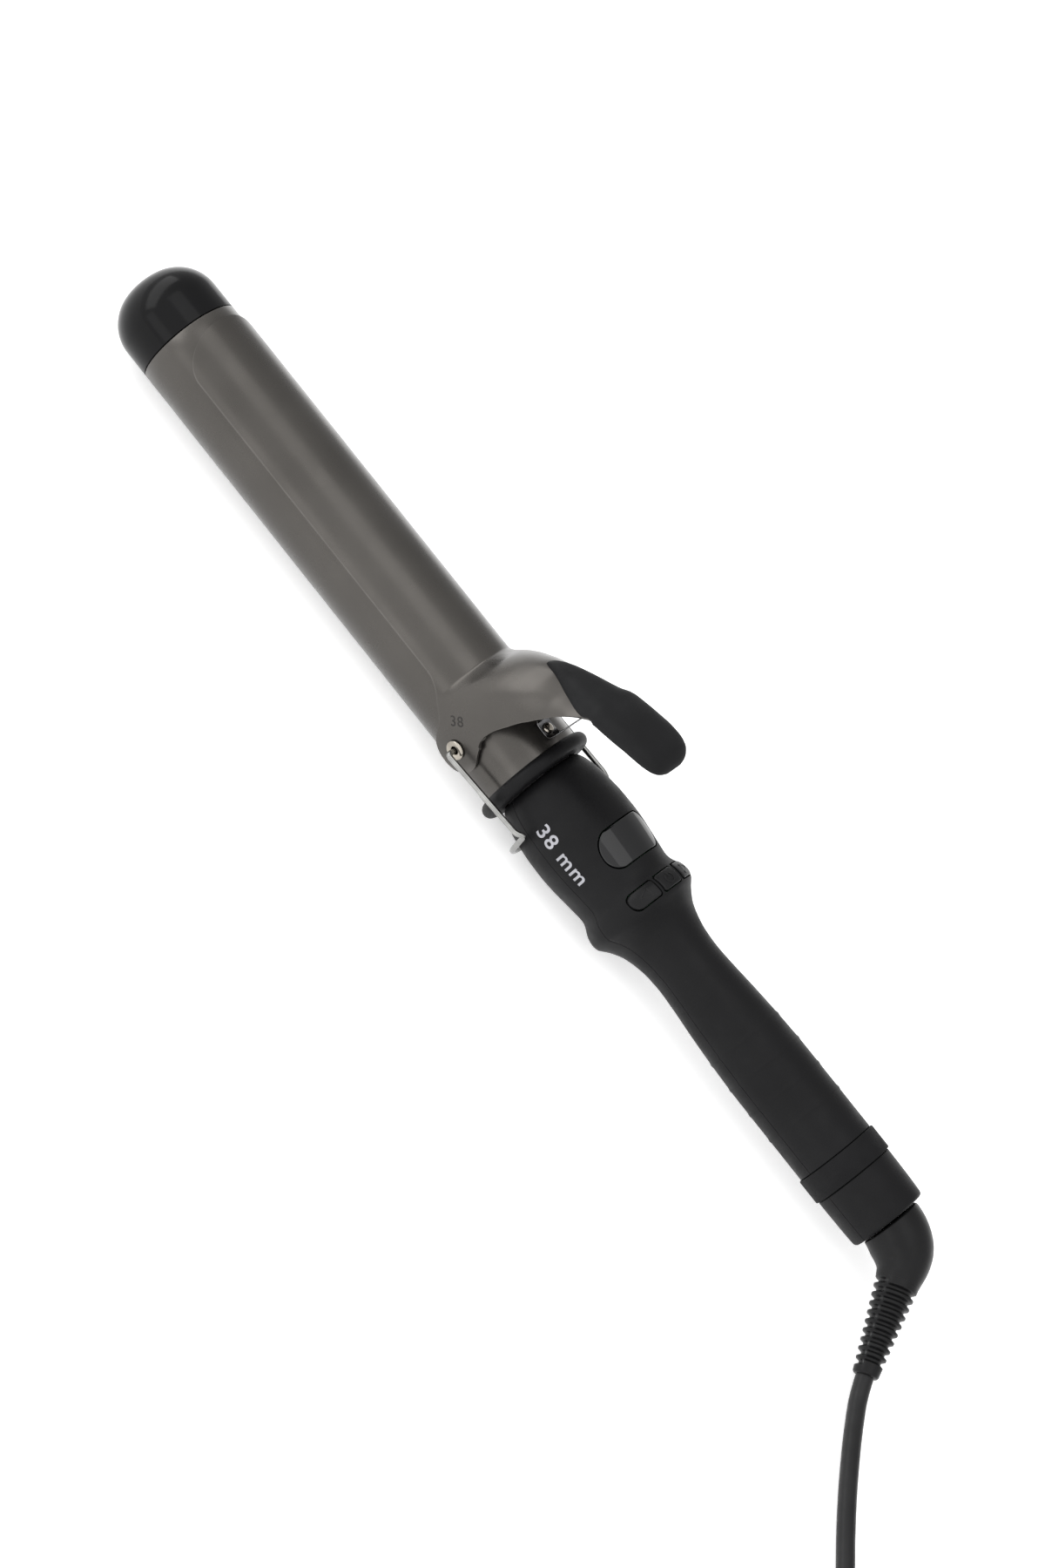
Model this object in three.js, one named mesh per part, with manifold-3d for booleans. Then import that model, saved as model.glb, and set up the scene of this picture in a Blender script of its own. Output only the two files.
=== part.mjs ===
// Salon curling iron: a heated barrel with a spring clamp and thumb lever, a folding wire stand,
// a two-part handle with a display and three buttons, and a mains cord on a swivel.
// Millimetres, +Z up. The iron lies along X on a flat surface at z = 0, lever up, tip at -X.
// Inside the iron group, x runs from the tip along the barrel axis, and the axis is y = z = 0.
import * as THREE from 'three';
import { mergeVertices } from 'three/addons/utils/BufferGeometryUtils.js';
import Module from 'manifold-3d';

const wasm = await Module();
wasm.setup();

// ---- driving dimensions ----
const gap = 0.3;                    // between pieces that touch
const ironLength = 425.7;           // tip to the outside of the swivel elbow
const capLength = 24.9;
const capCorner = 15;
const barrelRadius = 18.9;
const barrelWall = 1.2;
const barrelEnd = 214;
const barrelBore = barrelRadius - barrelWall;
const sheet = 0.85;                 // clamp sheet thickness
const clampStart = 29.3;
const clampRound = 14;              // length of the clamp's rounded end
const clampHalfAngle = THREE.MathUtils.degToRad(61);
const pivotX = 192;
const pivotHole = 2.35;
const earRadius = 8.8;
const earFlatness = 40;             // radius of the flattened ear face
const restEnd = 243.8;
const tongueHalfWidth = 6.4;
const wireRadius = 1;
const bailRadius = 21.6;            // wire centreline around the handle
const bailX = 229;
const legY = 24.6;
const axisHeight = bailRadius + 0.9 * wireRadius;
const collarX = 213.7;
const collarTube = 2.6;
const handleWall = 2.2;
const handleEnd = 401.9;
const bandStart = 374;
const bandEnd = 383.2;
const windowX = [243.6, 258];
const windowHalfWidth = 12.6;
const buttonX = [265.4, 272.5];
const boardTop = 10.1;
const screwXs = [288, 352];
const restScrewXs = [220.5, 228];
const springFootX = 205.5;
const elbowStart = 402.6;
const elbowBend = THREE.MathUtils.degToRad(60);
const elbowBendRadius = 18;
const elbowLength = 21;
const reliefLength = 33;
const bendTilt = THREE.MathUtils.degToRad(25);  // how far the elbow's bend dips below level
const cordRadius = 3.1;
const coilCentre = [345.7, -111.55];
const coilRadius = 36;
const cordPitch = 6.3;
const coilReach = 2 * cordPitch;     // from the middle of the turns to the coil's outside
const topTurns = 1.38;
const strapRise = 0.9;              // the coil lies on its strap

const material = (color, roughness, metalness = 0) =>
  new THREE.MeshStandardMaterial({ color, roughness, metalness });

const colors = {
  gunmetal: () => material(0x6b6660, 0.38, 0.9),
  gloss: () => material(0x141414, 0.12),
  matte: () => material(0x26262a, 0.6),
  rubber: () => material(0x2c2c30, 0.75),
  steel: () => material(0xc9c7c2, 0.25, 1),
  nickel: () => material(0xbdb5aa, 0.3, 1),
  aluminium: () => material(0xb9bcc0, 0.45, 0.9),
  brass: () => material(0xb88a45, 0.35, 0.9),
  ceramic: () => material(0xe3ded2, 0.7),
  board: () => material(0x245c38, 0.5),
  component: () => material(0x3a3a3c, 0.5),
};

// ---- solids and booleans ----
function toSolid(geometry) {
  const bare = geometry.clone();
  bare.deleteAttribute('normal');
  bare.deleteAttribute('uv');
  const merged = mergeVertices(bare, 1e-4);
  const index = merged.index.array;
  const faces = [];
  for (let i = 0; i < index.length; i += 3) {
    const [a, b, c] = [index[i], index[i + 1], index[i + 2]];
    if (a !== b && b !== c && c !== a) faces.push(a, b, c);
  }
  const mesh = new wasm.Mesh({
    numProp: 3,
    vertProperties: new Float32Array(merged.attributes.position.array),
    triVerts: new Uint32Array(faces),
  });
  return new wasm.Manifold(mesh);
}

function fromSolid(solid) {
  const mesh = solid.getMesh();
  const geometry = new THREE.BufferGeometry();
  geometry.setAttribute('position', new THREE.BufferAttribute(mesh.vertProperties, 3));
  geometry.setIndex(new THREE.BufferAttribute(mesh.triVerts, 1));
  return geometry;
}

const combine = (operation) => (body, ...others) =>
  fromSolid(others.reduce((solid, other) => solid[operation](toSolid(other)), toSolid(body)));
const cut = combine('subtract');
const join = combine('add');
const keepInside = combine('intersect');

// a turned piece about the X axis; the profile is a list of [x, radius]
function turned(profile, segments = 32) {
  const points = profile.map(([x, r]) => new THREE.Vector2(r, x));
  return new THREE.LatheGeometry(points, segments).rotateZ(-Math.PI / 2);
}

// a turned ring: its closed section runs out along the outside and back along the bore
const ring = (x0, x1, bore, radius, segments = 24) =>
  turned([[x0, bore], [x0, radius], [x1, radius], [x1, bore], [x0, bore]], segments);

function block(x, y, z) {
  const size = [x, y, z].map(([low, high]) => high - low);
  const centre = [x, y, z].map(([low, high]) => (low + high) / 2);
  return new THREE.BoxGeometry(...size).translate(...centre);
}

// a round bar along 'x', 'y' or 'z', from its low end to its high end
function bar(axis, radius, low, high, [a, b], segments = 16) {
  const rod = new THREE.CylinderGeometry(radius, radius, high - low, segments);
  const middle = (low + high) / 2;
  if (axis === 'x') return rod.rotateZ(-Math.PI / 2).translate(middle, a, b);
  if (axis === 'y') return rod.translate(a, middle, b);
  return rod.rotateX(Math.PI / 2).translate(a, b, middle);
}

function tube(path, radius, sides, steps) {
  const section = new THREE.Shape(
    Array.from({ length: sides }, (_, i) => {
      const angle = (2 * Math.PI * i) / sides;
      return new THREE.Vector2(radius * Math.cos(angle), radius * Math.sin(angle));
    }));
  return new THREE.ExtrudeGeometry(section, { steps, extrudePath: path, bevelEnabled: false });
}

const smooth = (points) =>
  new THREE.CatmullRomCurve3(points.map((p) => new THREE.Vector3(...p)), false, 'centripetal');

// straight runs between points, with each corner rounded over the given distance
function bentWire(points, corner) {
  const v = points.map((p) => new THREE.Vector3(...p));
  const path = new THREE.CurvePath();
  let from = v[0];
  for (let i = 1; i < v.length - 1; i++) {
    const enter = v[i].clone().add(v[i - 1].clone().sub(v[i]).setLength(corner));
    const leave = v[i].clone().add(v[i + 1].clone().sub(v[i]).setLength(corner));
    path.add(new THREE.LineCurve3(from, enter));
    path.add(new THREE.QuadraticBezierCurve3(enter, v[i], leave));
    from = leave;
  }
  path.add(new THREE.LineCurve3(from, v[v.length - 1]));
  return path;
}

// a closed skin between an upper and a lower grid of points with the same rows and columns
function skin(upper, lower) {
  const rows = upper.length;
  const columns = upper[0].length;
  const positions = [...upper.flat(), ...lower.flat()].flatMap((p) => [p.x, p.y, p.z]);
  const up = (i, j) => i * columns + j;
  const low = (i, j) => rows * columns + up(i, j);
  const faces = [];
  const quad = (a, b, c, d) => faces.push(a, b, c, a, c, d);
  for (let i = 0; i < rows - 1; i++) {
    for (let j = 0; j < columns - 1; j++) {
      quad(up(i, j), up(i + 1, j), up(i + 1, j + 1), up(i, j + 1));
      quad(low(i, j), low(i, j + 1), low(i + 1, j + 1), low(i + 1, j));
    }
    quad(up(i, 0), low(i, 0), low(i + 1, 0), up(i + 1, 0));
    quad(up(i, columns - 1), up(i + 1, columns - 1), low(i + 1, columns - 1), low(i, columns - 1));
  }
  for (let j = 0; j < columns - 1; j++) {
    quad(up(0, j), up(0, j + 1), low(0, j + 1), low(0, j));
    quad(up(rows - 1, j), low(rows - 1, j), low(rows - 1, j + 1), up(rows - 1, j + 1));
  }
  const geometry = new THREE.BufferGeometry();
  geometry.setAttribute('position', new THREE.Float32BufferAttribute(positions, 3));
  geometry.setIndex(faces);
  return geometry;
}

// straight-line reading of a table of [x, value, ...] at x
function read(table, x) {
  const next = table.findIndex((row) => row[0] >= x);
  if (next === 0) return table[0].slice(1);
  if (next < 0) return table[table.length - 1].slice(1);
  const [a, b] = [table[next - 1], table[next]];
  const t = (x - a[0]) / (b[0] - a[0]);
  return a.slice(1).map((value, i) => value + t * (b[i + 1] - value));
}

const group = new THREE.Group();
const iron = new THREE.Group();
iron.position.set(-ironLength / 2, 0, axisHeight);
group.add(iron);

function add(name, geometry, finish, parent = iron) {
  const mesh = new THREE.Mesh(geometry, finish);
  mesh.name = name;
  parent.add(mesh);
}

// ---- barrel and heater ----
function tipCap() {
  const flat = barrelRadius - capCorner;
  const corner = Array.from({ length: 6 }, (_, i) => {
    const angle = (Math.PI / 2) * (i / 5);
    return [capCorner * (1 - Math.cos(angle)), flat + capCorner * Math.sin(angle)];
  });
  const lip = barrelBore - gap;
  return turned([[0, 0], ...corner, [capLength, barrelRadius], [capLength, lip], [30.5, lip],
    [30.5, 15.4], [14, 15.4], [4.5, 10], [2.6, 3], [2.6, 0]], 32);
}

function barrel() {
  const sleeve = ring(capLength + gap, barrelEnd, barrelBore, barrelRadius, 48);
  return cut(sleeve, bar('y', pivotHole, -25, 25, [pivotX, 0]),
    bar('z', 1.15, 10, 25, [springFootX, 0], 12));
}

// an extruded aluminium half that carries heat from the plate to the barrel
function heatSpreader() {
  const outline = (inset) => {
    const radius = barrelBore - gap - inset;
    const chord = 2.6 + inset;
    const start = Math.asin(chord / radius);
    return Array.from({ length: 13 }, (_, i) => {
      const angle = start + (Math.PI - 2 * start) * (i / 12);
      return new THREE.Vector2(radius * Math.cos(angle), radius * Math.sin(angle));
    });
  };
  const section = new THREE.Shape(outline(0));
  section.holes.push(new THREE.Path(outline(1.8)));
  const length = 107;
  const profile = new THREE.ExtrudeGeometry(section, { depth: length, bevelEnabled: false });
  return profile.rotateX(Math.PI / 2).rotateZ(Math.PI / 2).translate(45, 0, 0);
}

function lead(side) {
  return tube(smooth([[134.8, 3 * side, 0], [152, 3 * side, 0], [180, 4 * side, 2],
    [205, 5 * side, 4], [222, 5 * side, 5], [233, 4 * side, 7.1]]), 0.9, 6, 16);
}

add('tip_cap', tipCap(), colors.gloss());
add('barrel_tube', barrel(), colors.gunmetal());
add('tip_insulator', ring(31.2, 34.5, 3, barrelBore - gap), colors.ceramic());
add('heat_spreader_upper', heatSpreader(), colors.aluminium());
add('heat_spreader_lower', heatSpreader().rotateX(Math.PI), colors.aluminium());
add('ptc_heater_plate', block([70, 130], [-7.5, 7.5], [-1.2, 1.2]), colors.ceramic());
add('electrode_upper', block([68, 134], [-7, 7], [1.55, 2.05]), colors.brass());
add('electrode_lower', block([68, 134], [-7, 7], [-2.05, -1.55]), colors.brass());
add('thermistor', bar('x', 1.5, 156, 163, [0, 7]), colors.ceramic());
add('thermal_fuse', bar('x', 2, 158, 169, [-5, -6]), colors.nickel());
add('heater_lead_live', lead(1), colors.rubber());
add('heater_lead_neutral', lead(-1), colors.rubber());
add('thermistor_lead', tube(smooth([[163.3, 0, 7], [190, 0, 6], [210, 0, 8], [230.4, 0, 8.8]]),
  0.8, 6, 12), colors.rubber());
add('base_bush', turned([[203, 10], [203, barrelBore - gap], [213.7, barrelBore - gap],
  [213.7, 13], [221, 13], [221, 14.9], [224, 14.9], [224, 10], [203, 10]], 24), colors.ceramic());

function collar() {
  const crown = Array.from({ length: 7 }, (_, i) => {
    const angle = Math.PI * (i / 6);
    return [collarX - collarTube * Math.cos(angle), 19.2 + (collarTube - 0.15) * Math.sin(angle)];
  });
  const front = barrelEnd + gap;
  const back = collarX + collarTube;
  return turned([...crown, [back, 14.6], [front, 14.6], [front, 19.2], crown[0]], 32);
}
add('collar_ring', collar(), colors.matte());

// ---- clamp: sheet metal over the barrel, bent up into the thumb lever ----
// [x, height of the top, height of the section's centre, half width]
const clampSections = [
  [clampStart, 20, 0, 20], [175, 20, 0, 20], [176.5, 21.6, 0, 20], [178, 24, 0, 20],
  [180, 27.8, 0, 20.1], [183, 32, 0, 20.3], [186, 35.3, 0, 20.5], [190, 39, 0, 20.5],
  [195, 42.4, 0, 20.5], [201, 44.8, 0, 20.3], [203, 45.5, 11, 18.4], [205, 46.1, 22.5, 16],
  [208.6, 47.3, 33.1, 13.5], [211.5, 48.2, 40.6, 12], [214.5, 48.9, 48.2, 11],
  [233, 52.4, 51.7, 11]];

// a point of the outer face: x along the clamp, turn from the top (0) down the side
function clampPoint(x, turn) {
  const [top, centre, half] = read(clampSections, x);
  if (Math.abs(turn) <= Math.PI / 2) {
    return new THREE.Vector3(x, half * Math.sin(turn), centre + (top - centre) * Math.cos(turn));
  }
  const drop = (Math.abs(turn) - Math.PI / 2) * half;
  const y = half - (drop * drop) / (2 * earFlatness);
  return new THREE.Vector3(x, Math.sign(turn) * y, centre - drop);
}

function turnAtHeight(x, z) {
  const [top, centre, half] = read(clampSections, x);
  return z >= centre ? Math.acos((z - centre) / (top - centre)) : Math.PI / 2 + (centre - z) / half;
}

const turnAtWidth = (x, y) => Math.asin(y / read(clampSections, x)[2]);

// the height of the clamp's outer face at a place on the lever
function clampTop(x, y) {
  const [top, centre, half] = read(clampSections, x);
  return centre + (top - centre) * Math.sqrt(1 - (y / half) ** 2);
}

// rows across the clamp: where each starts on the centre line, and its edge as [x, turn]
function clampRows() {
  const rows = [];
  for (let i = 0; i <= 5; i++) {
    const angle = THREE.MathUtils.degToRad(6 + 84 * (i / 5));
    const x = clampStart + clampRound * (1 - Math.cos(angle));
    rows.push([x, x, clampHalfAngle * Math.sin(angle)]);
  }
  for (const x of [85, 127, 166]) rows.push([x, x, clampHalfAngle]);
  const flare = [[170, 170.5, 8.9], [174.6, 175, 6.6], [175.6, 176.4, 5.6], [177.5, 178.5, 4.2],
    [179.5, 180.6, 2.4], [181.5, 182.3, 0.2]];
  for (const [x, edge, z] of flare) rows.push([x, edge, turnAtHeight(edge, z)]);
  for (let i = 0; i <= 11; i++) {
    const angle = THREE.MathUtils.degToRad(200 + 200 * (i / 11));
    const edge = pivotX + earRadius * Math.cos(angle);
    rows.push([183 + i, edge, turnAtHeight(edge, earRadius * Math.sin(angle))]);
  }
  const skirt = [[194.5, 197.2, 8.8], [194.95, 196, 11.4], [195.4, 195.6, 13.6],
    [196.4, 196.1, 17.2], [198.3, 198.2, 23], [201.8, 201.6, 30.2], [205, 205, 36.6],
    [208.6, 208.6, 41.6], [211.5, 211.5, 45], [214.5, 214.5, 48.5]];
  for (const [x, edge, z] of skirt) rows.push([x, edge, turnAtHeight(edge, z)]);
  const tongue = [[215.6, tongueHalfWidth], [222, tongueHalfWidth], [229, tongueHalfWidth],
    [231.5, 5], [232.6, 2.6]];
  for (const [x, y] of tongue) rows.push([x, x, turnAtWidth(x, y)]);
  return rows;
}

function clampShell() {
  const half = 9;
  const fan = 12;                   // how late a row bends away towards its edge
  const outer = clampRows().map(([x, edge, turn]) =>
    Array.from({ length: 2 * half + 1 }, (_, j) => {
      const u = (j - half) / half;
      return clampPoint(x + (edge - x) * Math.abs(u) ** fan, turn * u);
    }));
  const last = [outer.length - 1, 2 * half];
  const inner = outer.map((row, i) => row.map((point, j) => {
    const along = outer[Math.min(i + 1, last[0])][j].clone().sub(outer[Math.max(i - 1, 0)][j]);
    const across = row[Math.min(j + 1, last[1])].clone().sub(row[Math.max(j - 1, 0)]);
    return point.clone().sub(along.cross(across).setLength(sheet));
  }));
  const holes = restScrewXs.map((x) => bar('z', 1.5, 40, 60, [x, 0], 12));
  return cut(skin(outer, inner), bar('y', pivotHole, -25, 25, [pivotX, 0]), ...holes);
}
add('clamp_shell', clampShell(), colors.gunmetal());

// ---- thumb rest: moulded over the lever, with a pocket for the metal tongue ----
// [x, half width, top, bottom]; the bottom follows the metal up to the tongue
const restSections = [
  [190.4, 1.2, 40.4, 0], [191.4, 2.8, 42, 0], [195, 5.5, 44.8, 0],
  [201, 8.2, 47.9, 0], [203, 8.8, 48.8, 0], [205, 9.2, 49.6, 0], [208.6, 9.8, 51, 0],
  [211.5, 10.1, 52.1, 0], [214.5, 10.3, 53.2, 0], [215.7, 10.4, 53.5, 0],
  [216.3, 10.4, 53.7, 46.8], [220, 10.5, 55, 47.4], [225, 10.5, 56.4, 48.5],
  [230.5, 10.5, 57.4, 50], [236, 10.4, 57.9, 51.4], [239.5, 9.6, 57.5, 52.2],
  [241.7, 8.1, 56.6, 52.6], [243, 6.2, 55.7, 53], [restEnd, 3.6, 54.8, 53.5]];
const metalEdge = 216;

function thumbRest() {
  const columns = 11;
  const upper = [];
  const lower = [];
  for (const [x, halfWidth, top, bottom] of restSections) {
    const topRow = [];
    const bottomRow = [];
    for (let j = 0; j < columns; j++) {
      const across = -Math.cos((Math.PI * j) / (columns - 1));
      const y = halfWidth * Math.sign(across) * Math.abs(across) ** 0.8;
      const round = Math.max(0.1, (1 - Math.abs(across) ** 2.4) ** 0.42);
      const rim = clampTop(x, halfWidth) + 2 * gap;
      const middle = (top + bottom) / 2;
      const onMetal = x < metalEdge;
      const zTop = onMetal ? rim + (top - rim) * round : middle + (top - middle) * round;
      const zBottom = onMetal ? clampTop(x, y) + gap : middle - (middle - bottom) * round;
      topRow.push(new THREE.Vector3(x, y, zTop));
      bottomRow.push(new THREE.Vector3(x, y, zBottom));
    }
    upper.push(topRow);
    lower.push(bottomRow);
  }
  const pocketRow = (x, lift) => [-tongueHalfWidth - gap, tongueHalfWidth + gap].map((y) =>
    new THREE.Vector3(x, y, clampTop(x, 0) + lift));
  const pocketXs = [214, 222, 233.2];
  const pocket = skin(pocketXs.map((x) => pocketRow(x, gap)),
    pocketXs.map((x) => pocketRow(x, -sheet - 0.45)));
  const holes = restScrewXs.flatMap((x) => {
    const under = clampTop(x, 0) - sheet;
    return [bar('z', 2.6, 40, under - 0.1, [x, 0], 12), bar('z', 1.2, 45, under + 4, [x, 0], 12)];
  });
  return cut(skin(upper, lower), pocket, ...holes);
}
add('thumb_rest', thumbRest(), colors.rubber());

// pan-head screw pointing up: head below, shank above
const risingScrew = (x, headZ, headHeight, headRadius, shankRadius, length) =>
  join(bar('z', headRadius, headZ, headZ + headHeight, [x, 0], 12),
    bar('z', shankRadius, headZ + headHeight - 0.2, headZ + length, [x, 0], 12));
restScrewXs.forEach((x, i) => {
  const headZ = clampTop(x, 0) - sheet - 1.5;
  add(`thumb_rest_screw_${i + 1}`, risingScrew(x, headZ, 0.9, 2.2, 0.9, 4.6), colors.steel());
});

// ---- pivot ----
function pivotRivet(side) {
  const section = turned([[16.6, 1.3], [16.6, 3], [17.1, 3], [17.1, 2.05], [20.8, 2.05],
    [20.8, 3.5], [21.3, 3.5], [21.7, 2.9], [21.7, 1.3], [16.6, 1.3]], 20);
  return section.rotateZ((side * Math.PI) / 2).translate(pivotX, 0, 0);
}
const pivotWasher = (side) =>
  ring(18.98, 19.22, pivotHole, 3.8, 20).rotateZ((side * Math.PI) / 2).translate(pivotX, 0, 0);
[['left', -1], ['right', 1]].forEach(([name, side]) => {
  add(`pivot_rivet_${name}`, pivotRivet(side), colors.nickel());
  add(`pivot_washer_${name}`, pivotWasher(side), colors.steel());
});

// ---- leaf spring: a bent strip from the barrel up to the underside of the lever ----
function leafSpring() {
  const path = [[202, 20.5], [202.8, 19.7], [203.8, 19.5], [207.6, 19.5], [208.8, 20.4],
    [209.4, 23], [210.4, 31], [211.5, 39], [212.5, 44.5], [213.5, 46.7], [214.6, 46.9],
    [215.6, 46]].map(([x, z]) => new THREE.Vector2(x, z));
  const offset = (distance) => path.map((point, i) => {
    const run = path[Math.min(i + 1, path.length - 1)].clone().sub(path[Math.max(i - 1, 0)]);
    return point.clone().add(new THREE.Vector2(-run.y, run.x).setLength(distance));
  });
  const outline = new THREE.Shape([...offset(0.25), ...offset(-0.25).reverse()]);
  const strip = new THREE.ExtrudeGeometry(outline, { depth: 6, bevelEnabled: false });
  return cut(strip.rotateX(Math.PI / 2).translate(0, 3, 0),
    bar('z', 1.15, 15, 22, [springFootX, 0], 12));
}
add('leaf_spring', leafSpring(), colors.steel());
add('spring_rivet', join(bar('z', 1.9, 20.05, 20.7, [springFootX, 0], 12),
  bar('z', 0.85, barrelBore + 0.05, 20.2, [springFootX, 0], 12)), colors.nickel());

// ---- stand: one bent wire, its ends hooked into the hollow rivets ----
function standWire() {
  const arc = Array.from({ length: 13 }, (_, i) => {
    const angle = Math.PI + Math.PI * (i / 12);
    return [bailX, bailRadius * Math.cos(angle), bailRadius * Math.sin(angle)];
  });
  const half = (side) => [[pivotX, 19.4 * side, 0], [pivotX, legY * side, 0],
    [bailX - 2.6, (legY - 0.4) * side, 1.6]];
  const points = [...half(-1), [bailX, -bailRadius - 1, 2.4], ...arc.slice(1, -1),
    [bailX, bailRadius + 1, 2.4], ...half(1).reverse()];
  return tube(bentWire(points, 1.5), wireRadius, 8, 80);
}
add('stand_wire', standWire(), colors.steel());

// ---- handle ----
// outer shape as [x, radius]
const handleOutline = [
  [216.6, 14.6], [217, 15.4], [219, 16.6], [222, 17.6], [226, 18.5], [230, 19], [236, 19.5],
  [242, 19.6], [247, 19.4], [252, 18.9], [257, 18.35], [262, 17.9], [264.2, 18.4], [266, 19.3],
  [268.3, 20.1], [270.5, 20.35], [272.5, 20], [275, 18], [277.3, 16.4], [280, 14.9],
  [285, 13.35], [290, 12.5], [296, 12.2], [303, 12.5], [315, 13.4], [330, 14.2], [342, 14.5],
  [bandStart, 14.5], [bandStart, 13.9], [bandEnd, 13.9], [bandEnd, 14.5], [392, 14.4],
  [401, 14.1], [handleEnd, 13.2]];
const outerRadius = (x) => read(handleOutline, x)[0];

function handleBody() {
  const boreXs = [380, 342, 315, 296, 285, 277.3, 272.5, 266, 262, 252, 226];
  const bore = boreXs.map((x) => [x, Math.min(outerRadius(x) - handleWall, 12.2 + (x < 290) * 9)]);
  return turned([...handleOutline, [handleEnd, 7.1], [399.4, 7.1], [399.4, 11.9], [385.9, 11.9],
    [385.9, 9.5], [384.2, 9.5], [384.2, 12], ...bore, [220.7, 15.3], [220.7, 13.4], [216.6, 13.4],
    handleOutline[0]], 24);
}

// a bar in the XY plane whose ends across Y are rounded, pushed up through the handle
function roundedCutter([x0, x1], [y0, y1], lowRound, highRound, shrink = 0) {
  const [left, right, bottom, top] = [x0 + shrink, x1 - shrink, y0 + shrink, y1 - shrink];
  const outline = new THREE.Shape();
  const corner = (x, y, [rx, ry], from) => outline.absellipse(x, y, rx, ry, from,
    from + Math.PI / 2, false);
  corner(right - highRound[0], top - highRound[1], highRound, 0);
  corner(left + highRound[0], top - highRound[1], highRound, Math.PI / 2);
  corner(left + lowRound[0], bottom + lowRound[1], lowRound, Math.PI);
  corner(right - lowRound[0], bottom + lowRound[1], lowRound, 1.5 * Math.PI);
  return new THREE.ExtrudeGeometry(outline, { depth: 22, bevelEnabled: false, curveSegments: 3 })
    .translate(0, 0, 8);
}

const windowEnd = [6.6, 5];
const buttonEnd = [3.1, 2.6];
const buttonCorner = [0.9, 0.9];
const windowCutter = (shrink) => roundedCutter(windowX, [-windowHalfWidth, windowHalfWidth],
  windowEnd, windowEnd, shrink);
const buttons = [
  ['button_down', [-15.4, -5.5], buttonEnd, buttonCorner, -9.4],
  ['button_power', [-4.7, 4.7], buttonCorner, buttonCorner, 0],
  ['button_up', [5.5, 15.4], buttonCorner, buttonEnd, 9.4]];

// a band of the handle's outer shape, grown by lift and as deep as depth
function handleBand(from, to, lift, depth) {
  const xs = [from, ...handleOutline.map(([x]) => x).filter((x) => x > from && x < to), to];
  const outside = xs.map((x) => [x, outerRadius(x) + lift]);
  const inside = xs.map((x) => [x, outerRadius(x) + lift - depth]).reverse();
  return turned([inside[inside.length - 1], ...outside, ...inside], 48);
}

function frontShell() {
  const bosses = screwXs.map((x) => bar('z', 3, 0.15, outerRadius(x) - 1, [x, 0], 12));
  const pilots = screwXs.map((x) => bar('z', 1.5, 0, 7, [x, 0], 12));
  const half = keepInside(handleBody(), block([200, 410], [-30, 30], [0.15, 30]));
  const holes = buttons.map(([, y, low, high]) => roundedCutter(buttonX, y, low, high));
  return cut(join(half, ...bosses), windowCutter(0), ...holes, ...pilots);
}

function rearShell() {
  const bosses = screwXs.map((x) => bar('z', 4, 1 - outerRadius(x), -0.15, [x, 0], 12));
  const bores = screwXs.flatMap((x) => [bar('z', 1.6, -30, 0, [x, 0], 12),
    bar('z', 3, -30, -6, [x, 0], 12)]);
  const half = keepInside(handleBody(), block([200, 410], [-30, 30], [-30, -0.15]));
  return cut(join(half, ...bosses), ...bores);
}

add('handle_front_shell', frontShell(), colors.matte());
add('handle_rear_shell', rearShell(), colors.matte());
screwXs.forEach((x, i) => add(`handle_screw_${i + 1}`,
  risingScrew(x, -8.4, 2, 2.7, 1.2, 14), colors.steel()));
add('grip_band', ring(bandStart + gap, bandEnd - gap, 13.9 + gap, 15.25, 32), colors.rubber());
add('display_window', keepInside(handleBand(242, 260, 0, 1.3), windowCutter(gap)), colors.gloss());

// ---- buttons and electronics ----
function button([, y, low, high, stemY]) {
  const soften = (round) => round.map((r) => Math.max(0.5, r - gap));
  const cutter = roundedCutter(buttonX, y, soften(low), soften(high), gap);
  const cap = keepInside(handleBand(262, 275, 0.4, 2.4), cutter);
  const middle = (buttonX[0] + buttonX[1]) / 2;
  return join(cap, bar('z', 1.2, 13.7, outerRadius(middle) * Math.cos(stemY / 18) - 1.2,
    [middle, stemY], 12));
}
buttons.forEach((row) => add(row[0], button(row), colors.matte()));

function tactSwitch(y) {
  const x = (buttonX[0] + buttonX[1]) / 2;
  const half = 2.1;
  const body = block([x - half, x + half], [y - half, y + half], [boardTop + gap, 12.3]);
  return join(body, bar('z', 1, 12, 12.8, [x, y], 12));
}
['down', 'power', 'up'].forEach((name, i) =>
  add(`tact_switch_${name}`, tactSwitch(buttons[i][4]), colors.component()));
add('circuit_board', block([231, 274], [-11.6, 11.6], [8.5, boardTop]), colors.board());
add('display_module', block([244.8, 256.6], [-6.5, 6.5], [boardTop + gap, 14.2]),
  colors.component());
add('power_module', block([238, 252], [-6, 6], [3, 8.2]), colors.component());

function handleWire(side) {
  return tube(smooth([[262, 7 * side, 7.2], [275, 6.5 * side, 4.5], [288, 6.3 * side, 1.5],
    [320, 5.5 * side, 0], [350, 6.3 * side, 0], [365.5, 5 * side, 6 * side]]), 0.9, 6, 16);
}
add('handle_wire_live', handleWire(1), colors.rubber());
add('handle_wire_neutral', handleWire(-1), colors.rubber());

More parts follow.
